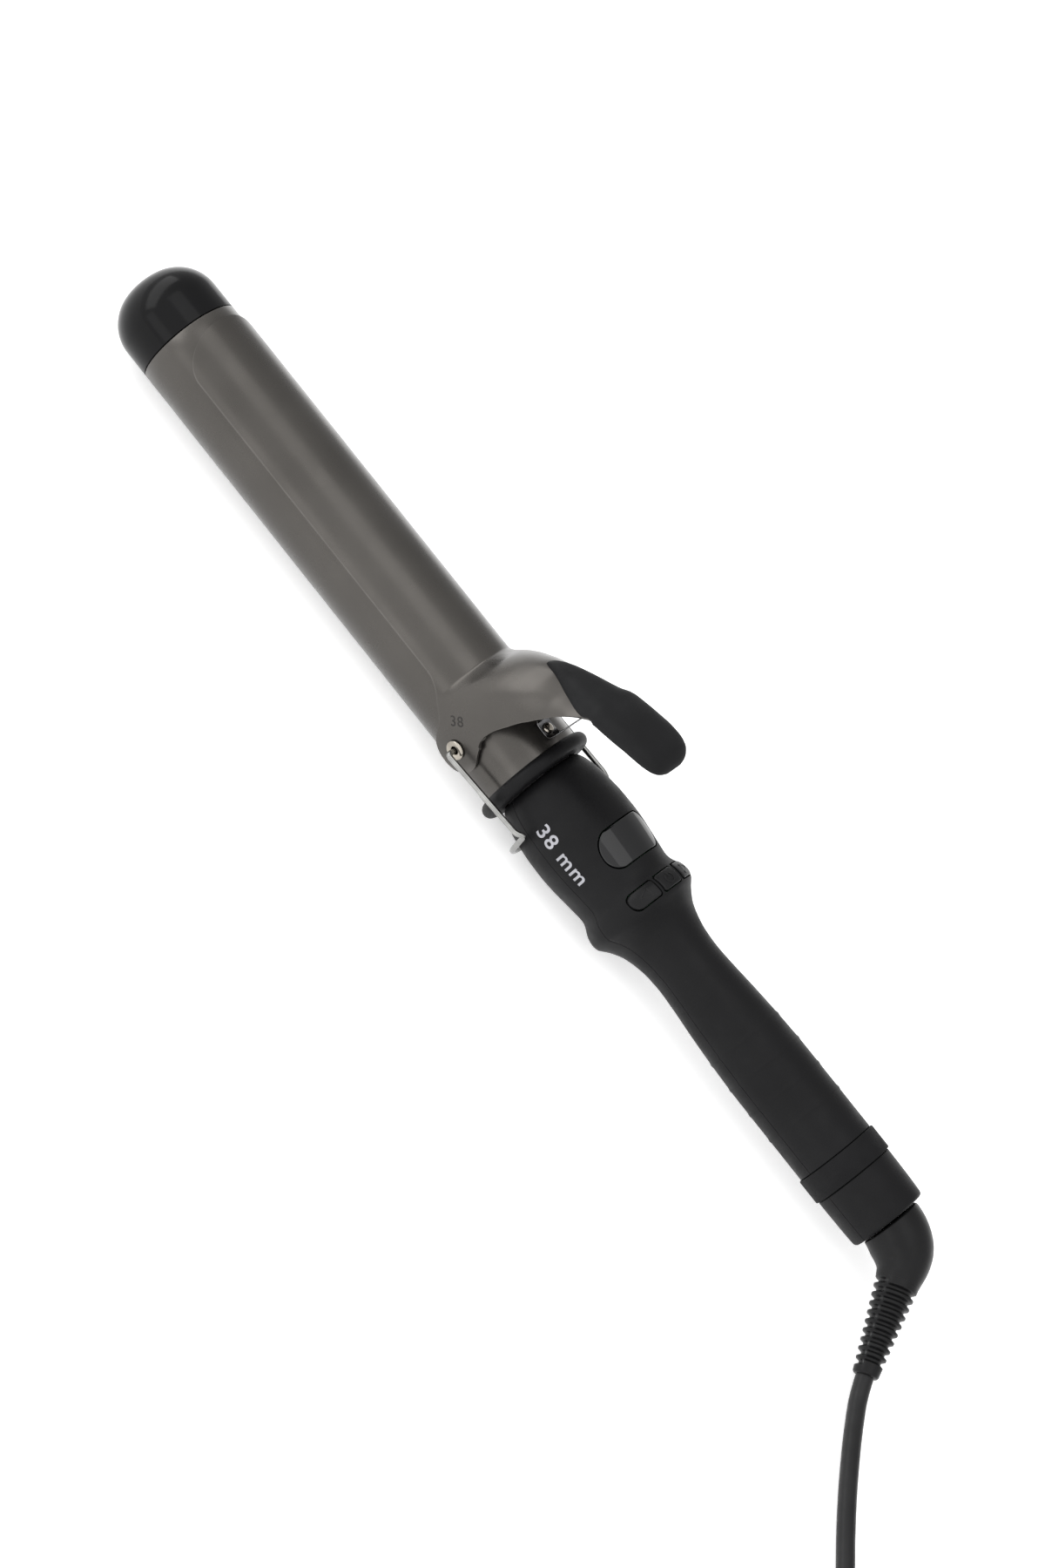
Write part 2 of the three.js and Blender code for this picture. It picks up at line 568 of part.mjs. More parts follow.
// ---- cord swivel ----
add('swivel_bush', ring(386.2, 399.1, 6.9, 11.6), colors.component());
add('swivel_spindle', turned([[364, 2.2], [364, 4.2], [383, 4.2], [383, 8.5], [385.9, 8.5],
  [385.9, 6.5], [elbowStart - gap, 6.5], [elbowStart - gap, 2.2], [364, 2.2]], 20),
colors.component());
[['live', 367, 1], ['neutral', 374, -1]].forEach(([name, x, side]) => {
  add(`slip_ring_${name}`, ring(x, x + 3, 4.5, 5.6, 20), colors.brass());
  const reach = [5.95, 10.5].map((z) => z * side).sort((a, b) => a - b);
  add(`brush_${name}`, block([x + 0.5, x + 2.5], [-1.5, 1.5], reach), colors.brass());
});

// carries a turned piece along the elbow: its x is the distance from the handle end
function bendAlongElbow(geometry) {
  const position = geometry.attributes.position;
  const toBend = new THREE.Vector3(0, -Math.cos(bendTilt), -Math.sin(bendTilt));
  const aside = new THREE.Vector3(1, 0, 0).cross(toBend);
  const arcLength = elbowBendRadius * elbowBend;
  for (let i = 0; i < position.count; i++) {
    const point = new THREE.Vector3().fromBufferAttribute(position, i);
    const angle = Math.min(point.x, arcLength) / elbowBendRadius;
    const straight = Math.max(0, point.x - arcLength);
    const forward = elbowBendRadius * Math.sin(angle) + straight * Math.cos(angle);
    const sideways = elbowBendRadius * (1 - Math.cos(angle)) + straight * Math.sin(angle);
    const towards = point.dot(toBend);
    const across = point.dot(aside);
    const bent = new THREE.Vector3(elbowStart + forward - towards * Math.sin(angle), 0, 0)
      .addScaledVector(toBend, sideways + towards * Math.cos(angle))
      .addScaledVector(aside, across);
    position.setXYZ(i, bent.x, bent.y, bent.z);
  }
  return geometry;
}

add('swivel_elbow', bendAlongElbow(turned([[0, 0], [0, 10.3], [0.6, 10.9], [3.5, 10.9],
  [6.5, 10.85], [9.5, 10.7], [12.2, 10.2], [14.8, 9.4], [17, 8.6], [18.85, 7.9],
  [elbowLength, 7.5], [elbowLength, 0]], 24)), colors.rubber());
add('strain_relief', bendAlongElbow(turned([[elbowLength + gap, 0], [elbowLength + gap, 7.3],
  [elbowLength + reliefLength, 4.4], [elbowLength + reliefLength, 0]], 16)), colors.rubber());

// ---- cord, on the surface the iron lies on; these points are in the whole object's frame ----
const leadRoute = [
  [223.16, -36.14, 5.65], [225.3, -39.4, 4.35], [227.9, -43.4, 3.45], [231.3, -48.5, 3.15],
  [235.4, -54.6, 3.12], [240.6, -61.9, 3.12], [246.6, -69.9, 3.12], [253.4, -78.4, 3.12],
  [260.8, -87.1, 3.12], [268.5, -95.7, 3.12], [278, -105.8, 3.12], [287.2, -115.5, 3.2],
  [296.2, -125.1, 3.4]];
const tailRoute = [
  [380.9, -89.5, 23.3], [380.8, -82, 23.3], [380.5, -74.5, 23], [380, -67, 21],
  [379.4, -59.5, 17.3], [378.9, -52, 13.1], [378.5, -44.5, 9.9], [378.2, -37, 8.1],
  [378.1, -28.4, 7.5]];

add('cord_lead', tube(smooth(leadRoute), cordRadius, 10, 16), colors.matte(), group);
add('cord_tail', tube(smooth(tailRoute), cordRadius, 10, 10), colors.matte(), group);

// ten turns wound in and out in flat spirals, three layers deep, with the last turn on top
function cordCoil() {
  const [low, mid, high] = [0, 3, 4].map((layers) => strapRise + layers * cordPitch);
  const [inner, outer] = [coilRadius - coilReach, coilRadius + coilReach];
  const outerTop = inner + (topTurns + 1) * cordPitch;
  const section = [[inner, low], [outer, low], [outer, mid], [outerTop, mid],
    [outerTop, high], [inner, high], [inner, low]];
  const points = section.map(([r, z]) => new THREE.Vector2(r, z));
  return new THREE.LatheGeometry(points, 32).rotateX(Math.PI / 2)
    .translate(coilCentre[0], coilCentre[1], 0);
}
add('cord_coil', cordCoil(), colors.matte(), group);

// a hook-and-loop strap around the coil, 12 mm wide
function cordTie() {
  const frame = (grow) => {
    const inner = coilRadius - coilReach - strapRise - grow;
    const outer = coilRadius + coilReach + grow;
    const [low, high] = [strapRise - grow, strapRise + 4 * cordPitch + grow];
    return [[inner, low], [outer, low], [outer, high], [inner, high]].map(
      ([y, z]) => new THREE.Vector2(y, z));
  };
  const band = new THREE.Shape(frame(strapRise));
  band.holes.push(new THREE.Path(frame(gap)));
  return new THREE.ExtrudeGeometry(band, { depth: 12, bevelEnabled: false })
    .rotateX(Math.PI / 2).rotateZ(Math.PI / 2)
    .translate(coilCentre[0] - 6, coilCentre[1], 0);
}
add('cord_tie', cordTie(), colors.rubber(), group);

// ---- plug: a flat two-blade moulding lying beside the coil ----
const plugX = 378.1;
const plugY = -28;
const plugHeight = 15;
const bladeSpacing = 12.7;

function plugBody() {
  const half = plugHeight / 2;
  const outline = new THREE.Shape([[-4, 0], [4, 0], [4.6, 12], [9, 17], [12, 23], [12.4, 44],
    [10.5, 46], [-10.5, 46], [-12.4, 44], [-12, 23], [-9, 17], [-4.6, 12]].map(
    ([x, y]) => new THREE.Vector2(x, y)));
  const bevel = 2;
  const slab = new THREE.ExtrudeGeometry(outline, {
    depth: plugHeight - 2 * bevel, bevelThickness: bevel, bevelSize: bevel, bevelOffset: -bevel,
    bevelSegments: 1 });
  return slab.translate(plugX, plugY, half - (plugHeight - 2 * bevel) / 2);
}
add('plug_body', plugBody(), colors.rubber(), group);
[['live', -1], ['neutral', 1]].forEach(([name, side]) => {
  const x = plugX + (side * bladeSpacing) / 2;
  const start = plugY + 46 + gap;
  add(`plug_blade_${name}`, block([x - 0.75, x + 0.75], [start, start + 17],
    [plugHeight / 2 - 3.15, plugHeight / 2 + 3.15]), colors.brass(), group);
});

export default group;
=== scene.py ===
from math import acos, asin, copysign, cos, exp, pi, radians, sin, sqrt
import bmesh
import bpy
import numpy as np
from mathutils import Matrix, Vector


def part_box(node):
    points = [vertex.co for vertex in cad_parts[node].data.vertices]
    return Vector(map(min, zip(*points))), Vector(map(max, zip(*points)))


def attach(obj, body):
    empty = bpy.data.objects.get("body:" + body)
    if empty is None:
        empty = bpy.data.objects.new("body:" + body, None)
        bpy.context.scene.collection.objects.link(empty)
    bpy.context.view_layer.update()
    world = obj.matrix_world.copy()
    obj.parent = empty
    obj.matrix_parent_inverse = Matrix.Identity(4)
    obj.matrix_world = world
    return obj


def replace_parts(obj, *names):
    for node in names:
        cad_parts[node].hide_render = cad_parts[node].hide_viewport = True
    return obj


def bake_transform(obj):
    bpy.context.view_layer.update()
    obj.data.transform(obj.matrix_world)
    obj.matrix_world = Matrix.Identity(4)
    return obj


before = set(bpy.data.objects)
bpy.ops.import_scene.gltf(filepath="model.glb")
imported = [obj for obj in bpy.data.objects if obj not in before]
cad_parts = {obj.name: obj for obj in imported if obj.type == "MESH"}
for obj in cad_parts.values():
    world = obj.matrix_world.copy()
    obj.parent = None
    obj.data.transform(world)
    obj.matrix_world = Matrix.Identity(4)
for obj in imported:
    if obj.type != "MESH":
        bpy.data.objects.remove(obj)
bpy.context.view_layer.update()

# ---- View: the iron lies slantwise across the picture, seen from above its left side ----
# The lens is a long one, so the barrel hardly narrows towards its tip. Distances are in metres.
barrel_low, barrel_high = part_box("barrel_tube")
axis_height = (barrel_low.z + barrel_high.z) / 2
iron_origin = np.array([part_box("tip_cap")[0].x, 0, axis_height])

elevation, swing, roll = (radians(a) for a in (48, 5, 51.5))
view_distance = 1.2
along = Vector((1, 0, 0))
toward = Vector((0, -cos(elevation), sin(elevation)))
across = Vector((0, sin(elevation), cos(elevation)))
back = toward * cos(swing) + along * sin(swing)
beside = along * cos(swing) - toward * sin(swing)
right = beside * cos(roll) + across * sin(roll)
up = across * cos(roll) - beside * sin(roll)
aim_from_tip, aim_below_axis = 0.2135, 0.005
aim = Vector(iron_origin) + along * aim_from_tip - across * aim_below_axis


def add_object(name, data):
    """An object made of the data and put in the scene."""
    thing = bpy.data.objects.new(name, data)
    bpy.context.scene.collection.objects.link(thing)
    return thing


camera = add_object("camera", bpy.data.cameras.new("camera"))
camera.data.lens = 82.4
camera.matrix_world = Matrix.Translation(aim + back * view_distance) @ Matrix(
    (right, up, back)).transposed().to_4x4()
bpy.context.scene.camera = camera
bpy.context.scene.view_settings.view_transform = "Standard"


# ---- Studio: a white acrylic floor lit from below, a soft sky and three soft boxes ----
# Two boxes lie along the barrel for its long reflections, and one lights the lever from the tip's
# side. Mottle varies a finish's colour and roughness, and grain gives it a fine relief.
MM = 0.001


def new_group(name, inputs, outputs):
    group = bpy.data.node_groups.new(name, "ShaderNodeTree")
    for label, kind, value in inputs:
        group.interface.new_socket(label, in_out="INPUT", socket_type=kind).default_value = value
    for label, kind in outputs:
        group.interface.new_socket(label, in_out="OUTPUT", socket_type=kind)
    return group, group.nodes.new("NodeGroupInput").outputs, group.nodes.new("NodeGroupOutput").inputs


def add_node(tree, kind, links=(), **settings):
    """A node with its settings, and links given as (input, what feeds it or its value)."""
    node = tree.nodes.new("ShaderNode" + kind)
    for name, value in settings.items():
        setattr(node, name, value)
    for socket, source in links:
        if isinstance(source, bpy.types.NodeSocket):
            tree.links.new(source, node.inputs[socket])
        else:
            node.inputs[socket].default_value = source
    return node


def mottle_group():
    group, given, out = new_group(
        "mottle",
        [("Scale", "NodeSocketFloat", 60), ("Dark", "NodeSocketColor", (0, 0, 0, 1)),
         ("Light", "NodeSocketColor", (1, 1, 1, 1)), ("Smooth", "NodeSocketFloat", 0.3),
         ("Rough", "NodeSocketFloat", 0.5)],
        [("Colour", "NodeSocketColor"), ("Roughness", "NodeSocketFloat")])
    place = add_node(group, "TexCoord").outputs["Object"]
    cloud = add_node(group, "TexNoise", [("Vector", place), ("Scale", given["Scale"]), ("Detail", 5)])
    spread = add_node(group, "MapRange", [("Value", cloud.outputs[0]), ("From Min", 0.3),
                                          ("From Max", 0.7)])
    mixed = add_node(group, "Mix", [("Factor", spread.outputs[0]), (6, given["Dark"]),
                                    (7, given["Light"])], data_type="RGBA")
    finer = add_node(group, "Math", [(0, given["Scale"]), (1, 3.3)], operation="MULTIPLY")
    handled = add_node(group, "TexNoise", [("Vector", place), ("Scale", finer.outputs[0]),
                                           ("Detail", 3)])
    rough = add_node(group, "MapRange", [("Value", handled.outputs[0]), ("From Min", 0.3),
                                         ("From Max", 0.7), ("To Min", given["Smooth"]),
                                         ("To Max", given["Rough"])])
    group.links.new(mixed.outputs[2], out["Colour"])
    group.links.new(rough.outputs[0], out["Roughness"])
    return group


def grain_group():
    group, given, out = new_group(
        "grain", [("Scale", "NodeSocketFloat", 2000), ("Stretch", "NodeSocketVector", (1, 1, 1))],
        [("Height", "NodeSocketFloat")])
    place = add_node(group, "TexCoord").outputs["Object"]
    drawn = add_node(group, "VectorMath", [(0, place), (1, given["Stretch"])], operation="MULTIPLY")
    relief = add_node(group, "TexNoise", [("Vector", drawn.outputs[0]), ("Scale", given["Scale"]),
                                          ("Detail", 2)])
    group.links.new(relief.outputs[0], out["Height"])
    return group


mottle, grain = mottle_group(), grain_group()


def finish(name, dark, light, smooth, rough, scale=60, relief=(2000, 0.02), stretch=(1, 1, 1),
           wear=None, **sockets):
    """A mottled material with a fine relief, as (scale, depth in mm).

    wear, where there is any, is how much its edges are worn and the colour that shows there.
    """
    material = bpy.data.materials.new(name)
    material.use_nodes = True
    tree = material.node_tree
    shader = tree.nodes["Principled BSDF"]
    for socket, value in sockets.items():
        shader.inputs[socket.replace("_", " ").title().replace("Ior", "IOR")].default_value = value
    tone = add_node(tree, "Group", node_tree=mottle)
    values = [("Scale", scale), ("Dark", (*dark, 1)), ("Light", (*light, 1)), ("Smooth", smooth),
              ("Rough", rough)]
    for socket, value in values:
        tone.inputs[socket].default_value = value
    colour = tone.outputs["Colour"]
    if wear:
        worn = add_node(tree, "Group", node_tree=edge_wear)
        worn.inputs["Amount"].default_value = wear[0]
        colour = add_node(tree, "Mix", [("Factor", worn.outputs[0]), (6, colour), (7, (*wear[1], 1))],
                          data_type="RGBA").outputs[2]
    tree.links.new(colour, shader.inputs["Base Color"])
    tree.links.new(tone.outputs["Roughness"], shader.inputs["Roughness"])
    texture = add_node(tree, "Group", node_tree=grain)
    texture.inputs["Scale"].default_value = relief[0]
    texture.inputs["Stretch"].default_value = stretch
    bump = add_node(tree, "Bump", [("Height", texture.outputs["Height"]), ("Distance", relief[1] * MM)])
    tree.links.new(bump.outputs[0], shader.inputs["Normal"])
    return material


floor_size = 12
floor_mesh = bpy.data.meshes.new("studio_floor")
floor_corners = [(floor_size * a, floor_size * b, 0) for a, b in ((-1, -1), (1, -1), (1, 1), (-1, 1))]
floor_mesh.from_pydata(floor_corners, [], [(0, 1, 2, 3)])
floor_mesh.materials.append(finish("white_acrylic", (0.86, 0.86, 0.86), (0.9, 0.9, 0.9), 0.8, 0.95, 3,
                                   (900, 0.02), emission_color=(1, 1, 1, 1), emission_strength=0.4))
studio_floor = add_object("studio_floor", floor_mesh)

sky = bpy.data.worlds.new("sky")
bpy.context.scene.world = sky
sky.use_nodes = True
look = add_node(sky.node_tree, "TexCoord").outputs["Generated"]
axes = add_node(sky.node_tree, "SeparateXYZ", [(0, look)])
shade = add_node(sky.node_tree, "MapRange", [("Value", axes.outputs["Y"]), ("From Min", -0.4),
                                             ("From Max", 0.8), ("To Min", 1.55), ("To Max", 0.75)])
glow = sky.node_tree.nodes["Background"]
glow.inputs["Color"].default_value = (1, 1, 1, 1)
sky.node_tree.links.new(shade.outputs[0], glow.inputs["Strength"])


def soft_box(name, bearing, lift, distance, width, length, power):
    """A soft box aimed at the iron, from a bearing and a lift in degrees.

    Bearing 0 is the viewer's side and 90 the tip's.
    """
    light = add_object(name, bpy.data.lights.new(name, "AREA"))
    light.data.shape = "RECTANGLE"
    light.data.size, light.data.size_y = length, width
    light.data.energy = power
    turn, rise = radians(bearing), radians(lift)
    away = Vector((-sin(turn) * cos(rise), -cos(turn) * cos(rise), sin(rise)))
    level = Vector((cos(turn), -sin(turn), 0))
    light.matrix_world = Matrix.Translation(aim + away * distance) @ Matrix(
        (level, away.cross(level), away)).transposed().to_4x4()


soft_box("front_box", 0, 18, 1.5, 0.5, 1.8, 2.4)
soft_box("top_box", 0, 84, 1.4, 0.75, 1.8, 4)
soft_box("tip_box", 80, 25, 1.4, 0.6, 2.0, 8)


# ---- Mains cord: a round two-core flex in black PVC, 6.2 mm thick ----
# It leaves the strain relief, runs along the floor and is wound into a tied coil. The turns go in
# and out in flat spirals, one layer on another, and the end lies down beside them to the plug.
cord_radius = 3.1
cord_pitch = 6.3
coil_centre = np.array([345.7, -111.55])
coil_inner = 26.55
spiral_turns = 3
coil_turns = 10.38
coil_base = 0.9 + cord_pitch / 2
entry_angle = radians(-136.9)
lead_route = [
    (222.3, -34.8, 6.3), (223.16, -36.14, 5.65), (225.3, -39.4, 4.35), (227.9, -43.4, 3.45),
    (231.3, -48.5, 3.15), (235.4, -54.6, 3.12), (240.6, -61.9, 3.12), (246.6, -69.9, 3.12),
    (253.4, -78.4, 3.12), (260.8, -87.1, 3.12), (268.5, -95.7, 3.12), (278, -105.8, 3.12),
    (287.2, -115.5, 3.2), (296.2, -125.1, 3.4), (304.3, -133.8, 3.8), (310.5, -140.4, 4.0)]
tail_route = [
    (380.94, -104, 23.3), (380.9, -89.5, 23.3), (380.8, -82, 23.3), (380.5, -74.5, 23), (380, -67, 21),
    (379.4, -59.5, 17.3), (378.9, -52, 13.1), (378.5, -44.5, 9.9), (378.2, -37, 8.1),
    (378.1, -28.4, 7.5), (378.1, -26.5, 7.5)]


def coil_point(turn):
    """The cord's middle after that many turns: it swings in and out, and climbs where it turns back."""
    radius = coil_inner + cord_pitch * abs(turn % (2 * spiral_turns) - spiral_turns)
    layer = 0
    for turning in range(spiral_turns, int(coil_turns) + 1, spiral_turns):
        climb = np.clip((turn - turning) / 0.25 + 0.5, 0, 1)
        layer += (1 - cos(pi * climb)) / 2
    angle = entry_angle + 2 * pi * turn
    return (*(coil_centre + radius * np.array([cos(angle), sin(angle)])),
            coil_base + cord_pitch * layer)


def through(points, steps=5):
    """A smooth line through the points (centripetal Catmull-Rom)."""
    p = np.array(points, float)
    p = np.vstack([2 * p[0] - p[1], p, 2 * p[-1] - p[-2]])
    line = []
    for a, b, c, d in zip(p, p[1:], p[2:], p[3:]):
        t1 = np.linalg.norm(b - a) ** 0.5
        t2 = t1 + np.linalg.norm(c - b) ** 0.5
        t3 = t2 + np.linalg.norm(d - c) ** 0.5
        for t in np.linspace(t1, t2, steps, endpoint=False):
            ab = a + (b - a) * t / t1
            bc = b + (c - b) * (t - t1) / (t2 - t1)
            cd = c + (d - c) * (t - t2) / (t3 - t2)
            abc = ab + (bc - ab) * t / t2
            bcd = bc + (cd - bc) * (t - t1) / (t3 - t1)
            line.append(abc + (bcd - abc) * (t - t1) / (t2 - t1))
    return np.array([*line, p[-2]])


def wire_piece(name, line, radius, material, origin=(0, 0, 0)):
    """A round wire or cord along a line of points in mm."""
    curve = bpy.data.curves.new(name, "CURVE")
    curve.dimensions = "3D"
    curve.bevel_depth = radius * MM
    curve.bevel_resolution = 5
    curve.use_fill_caps = True
    spline = curve.splines.new("POLY")
    spline.points.add(len(line) - 1)
    for point, place in zip(spline.points, np.array(line) * MM + np.array(origin)):
        point.co = (*place, 1)
    curve.materials.append(material)
    return add_object(name, curve)


points_per_turn = 28
cord_coil = [coil_point(turn) for turn in np.linspace(0, coil_turns, int(coil_turns * points_per_turn))]
cord_line = np.vstack([through(lead_route), cord_coil, through(tail_route)])
black_pvc = finish("black_pvc", (0.006, 0.006, 0.0065), (0.01, 0.01, 0.0105), 0.36, 0.5, 90,
                   (1400, 0.03), specular_ior_level=0.22)
mains_cord = wire_piece("mains_cord", cord_line, cord_radius, black_pvc)
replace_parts(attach(mains_cord, "cord_end"), "cord_lead", "cord_coil", "cord_tail")


# ---- Coil strap: a 12 mm hook-and-loop band, woven on the outside, closed round the turns ----
# It is one strip with its end lapped over itself on the outer side of the coil.
strap_width = 12
strap_thickness = 0.9
strap_x = coil_centre[0]
# Paths of (place across the coil, height).
strap_path = [(-30, 0.45), (-24.5, 0.6), (-22.7, 2.4), (-22.7, 14), (-22.7, 24.5), (-24.5, 26.5),
              (-28, 26.7), (-33, 26.2), (-38, 23.5), (-43.5, 20.6), (-47.6, 19.9), (-49.0, 18.2),
              (-49.2, 12), (-49.2, 3.4), (-47.8, 0.9), (-44, 0.45), (-36, 0.45), (-30, 0.45)]
lap_path = [(-40, 23.9), (-43.7, 21.9), (-48.2, 21.1), (-50.2, 18.6), (-50.3, 12), (-50.3, 6)]


def build(name, points, faces, material, origin=iron_origin, sharp=35):
    """A mesh piece from points in mm; edges that turn more than sharp degrees stay crisp."""
    mesh = bpy.data.meshes.new(name)
    mesh.from_pydata([tuple(p) for p in np.asarray(points, float) * MM + np.asarray(origin)], [], faces)
    mesh.materials.append(material)
    tidy = bmesh.new()
    tidy.from_mesh(mesh)
    bmesh.ops.remove_doubles(tidy, verts=tidy.verts, dist=1e-6)
    bmesh.ops.dissolve_degenerate(tidy, edges=tidy.edges, dist=1e-7)
    bmesh.ops.recalc_face_normals(tidy, faces=tidy.faces)
    tidy.to_mesh(mesh)
    tidy.free()
    mesh.shade_smooth()
    mesh.set_sharp_from_angle(angle=radians(sharp))
    return add_object(name, mesh)


def skin(rows, wrap_rows=False, wrap_columns=True, caps=True):
    """Points and faces of a surface through rows of points. caps close the first and last row."""
    rows = np.asarray(rows, float)
    count, width = rows.shape[:2]
    faces = []
    for i in range(count if wrap_rows else count - 1):
        for j in range(width if wrap_columns else width - 1):
            a, b = i * width, (i + 1) % count * width
            k = (j + 1) % width
            faces.append((a + j, a + k, b + k, b + j))
    if caps and not wrap_rows:
        faces += [tuple(range(width))[::-1], tuple(range((count - 1) * width, count * width))]
    return rows.reshape(-1, 3), faces


def put_together(*shapes):
    """Several (points, faces) as one."""
    points, faces = [], []
    for more, their in shapes:
        faces += [tuple(len(points) + k for k in face) for face in their]
        points += [tuple(p) for p in more]
    return points, faces


def normals_of(line):
    """The direction across a line in its own plane, at each point."""
    run = np.gradient(np.asarray(line, float), axis=0)
    return np.column_stack([-run[:, 1], run[:, 0]]) / np.linalg.norm(run, axis=1)[:, None]


def strip(line, thickness, width, bevel=0.2):
    """A flat strip of the given width, bent along a line in its own plane; rows run along the line."""
    line = np.asarray(line, float)
    across_line = normals_of(line)
    half, w = thickness / 2, width / 2
    section = [(-w, -half + bevel), (-w + bevel, -half), (w - bevel, -half), (w, -half + bevel),
               (w, half - bevel), (w - bevel, half), (-w + bevel, half), (-w, half - bevel)]
    return [[(*(point + n * v), u) for u, v in section] for point, n in zip(line, across_line)]


def through_flat(points, steps):
    """A smooth line through points in one plane."""
    return through([(a, b, 0) for a, b in points], steps)[:, :2]


def strap_part(path):
    """A length of the strap along a path, kept just clear of the floor."""
    rows = strip(through_flat(path, 4), strap_thickness, strap_width)
    return skin([[(strap_x + u, coil_centre[1] - y, max(z, 0.02)) for y, z, u in row] for row in rows])


strap_weave = finish("strap_weave", (0.006, 0.006, 0.0065), (0.016, 0.016, 0.017), 0.75, 0.95, 900,
                     (1500, 0.25), stretch=(1, 0.35, 0.35), sheen_weight=0.12, specular_ior_level=0.15)
cord_tie = build("coil_strap", *put_together(strap_part(strap_path), strap_part(lap_path)), strap_weave,
                 (0, 0, 0))
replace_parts(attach(cord_tie, "cord_end"), "cord_tie")


# ---- Plug: a flat two-blade moulding in soft black PVC over the blades' carrier ----
# Its neck is slotted so that it bends with the cord, and finger ribs cross both broad faces.
plug_x, plug_y = 378.1, -28.0
plug_middle = 7.5
plug_length = 46
blade_spacing = 12.7
blade_thickness, blade_height, blade_length = 1.5, 6.3, 17
blade_hole_radius, blade_hole_from_tip = 1.6, 5.5


def flow(table):
    """A function that reads a table of (place, value, ...) smoothly, by monotone cubics."""
    rows = np.array(table, float)
    xs, values = rows[:, 0], rows[:, 1:]
    steps = np.diff(xs)[:, None]
    slopes = np.diff(values, axis=0) / steps
    ends = np.zeros_like(values)
    with np.errstate(divide="ignore", invalid="ignore"):
        mean = 2 / (1 / slopes[:-1] + 1 / slopes[1:])
    ends[1:-1] = np.where(slopes[:-1] * slopes[1:] > 0, mean, 0)
    ends[0], ends[-1] = slopes[0], slopes[-1]

    def at(x):
        i = int(np.clip(np.searchsorted(xs, x) - 1, 0, len(steps) - 1))
        t = min(max((x - xs[i]) / steps[i, 0], 0), 1)
        return ((1 + 2 * t) * (1 - t) ** 2 * values[i] + t * t * (3 - 2 * t) * values[i + 1]
                + steps[i, 0] * t * (1 - t) * ((1 - t) * ends[i] - t * ends[i + 1]))
    return at


# (distance from the neck's end, half width, half height, squareness of the section)
plug_form = flow([(0, 4.1, 4.1, 2), (3, 4.4, 4.3, 2), (10, 4.7, 4.7, 2.1), (13, 5.6, 5.1, 2.4),
                  (17, 8.9, 6.4, 3), (22, 11.6, 7.3, 4), (30, 12.2, 7.45, 5), (43, 12.4, 7.45, 5),
                  (45, 11.9, 7, 5), (46, 10.8, 6.1, 4.5)])


def pulse(x, start, pitch, count, width):
    """1 in each of a row of slots and 0 between them, with soft edges."""
    nearest = start + pitch * np.clip(np.round((x - start) / pitch), 0, count - 1)
    return float(np.clip(1.5 - 2 * abs(x - nearest) / width, 0, 1))


def full_turn(count):
    """Angles spread evenly round a circle."""
    return np.linspace(0, 2 * pi, count, endpoint=False)


neck_slots = {"start": 2.2, "pitch": 2.6, "count": 4, "width": 1.3}
finger_ribs = {"start": 27, "pitch": 2.4, "count": 6, "width": 1.3}
neck_slot_depth, rib_depth, neck_radius = 0.7, 0.45, 4.5
neck_places, body_places = np.linspace(0, 13, 53), np.linspace(13.4, 43, 75)
end_places = np.linspace(43.2, plug_length, 12)
plug_rows = []
for along_plug in [*neck_places, *body_places, *end_places]:
    half_width, half_height, squareness = plug_form(along_plug)
    row = []
    for turn in full_turn(64):
        c, s = cos(turn), sin(turn)
        u = copysign(abs(c) ** (2 / squareness), c)
        v = copysign(abs(s) ** (2 / squareness), s)
        slot = neck_slot_depth * pulse(along_plug, **neck_slots) * min(1, 2 * abs(c) ** 2)
        rib = rib_depth * pulse(along_plug, **finger_ribs) * (abs(c) < 0.75) * (abs(s) > 0.3)
        narrowed = 1 - slot / neck_radius
        row.append((plug_x + half_width * u * narrowed, plug_y + along_plug,
                    plug_middle + (half_height - rib) * v * narrowed))
    plug_rows.append(row)


def wear_group():
    group, given, out = new_group(
        "edge_wear", [("Amount", "NodeSocketFloat", 0.5), ("Patch Scale", "NodeSocketFloat", 300)],
        [("Mask", "NodeSocketFloat")])
    edge = add_node(group, "NewGeometry").outputs["Pointiness"]
    bare = add_node(group, "MapRange", [("Value", edge), ("From Min", 0.52), ("From Max", 0.62)])
    place = add_node(group, "TexCoord").outputs["Object"]
    patch = add_node(group, "TexNoise", [("Vector", place), ("Scale", given["Patch Scale"]),
                                         ("Detail", 3)])
    broken = add_node(group, "Math", [(0, bare.outputs[0]), (1, patch.outputs[0])], operation="MULTIPLY")
    amount = add_node(group, "Math", [(0, broken.outputs[0]), (1, given["Amount"])], operation="MULTIPLY")
    group.links.new(amount.outputs[0], out["Mask"])
    return group


edge_wear = wear_group()
moulded_pvc = finish("moulded_pvc", (0.006, 0.006, 0.0065), (0.011, 0.011, 0.0115), 0.42, 0.6, 120,
                     (1800, 0.05), wear=(0.25, (0.04, 0.04, 0.04)), specular_ior_level=0.22)
plug = build("plug_moulding", *skin(plug_rows), moulded_pvc, (0, 0, 0))
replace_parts(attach(plug, "cord_end"), "plug_body")


def shaped(piece):
    """Applies the piece's modifiers, so its mesh is final."""
    bpy.context.view_layer.update()
    seen = piece.evaluated_get(bpy.context.evaluated_depsgraph_get())
    mesh = bpy.data.meshes.new_from_object(seen)
    piece.modifiers.clear()
    piece.data = mesh
    mesh.shade_smooth()
    mesh.set_sharp_from_angle(angle=radians(35))
    return piece


def work(piece, operation, *cutters):
    """Cuts the cutters from the piece, or joins them to it, and removes them."""
    for cutter in cutters:
        step = piece.modifiers.new("work", "BOOLEAN")
        step.operation, step.object, step.solver = operation, cutter, "EXACT"
    shaped(piece)
    for cutter in cutters:
        bpy.data.objects.remove(cutter)
    return piece


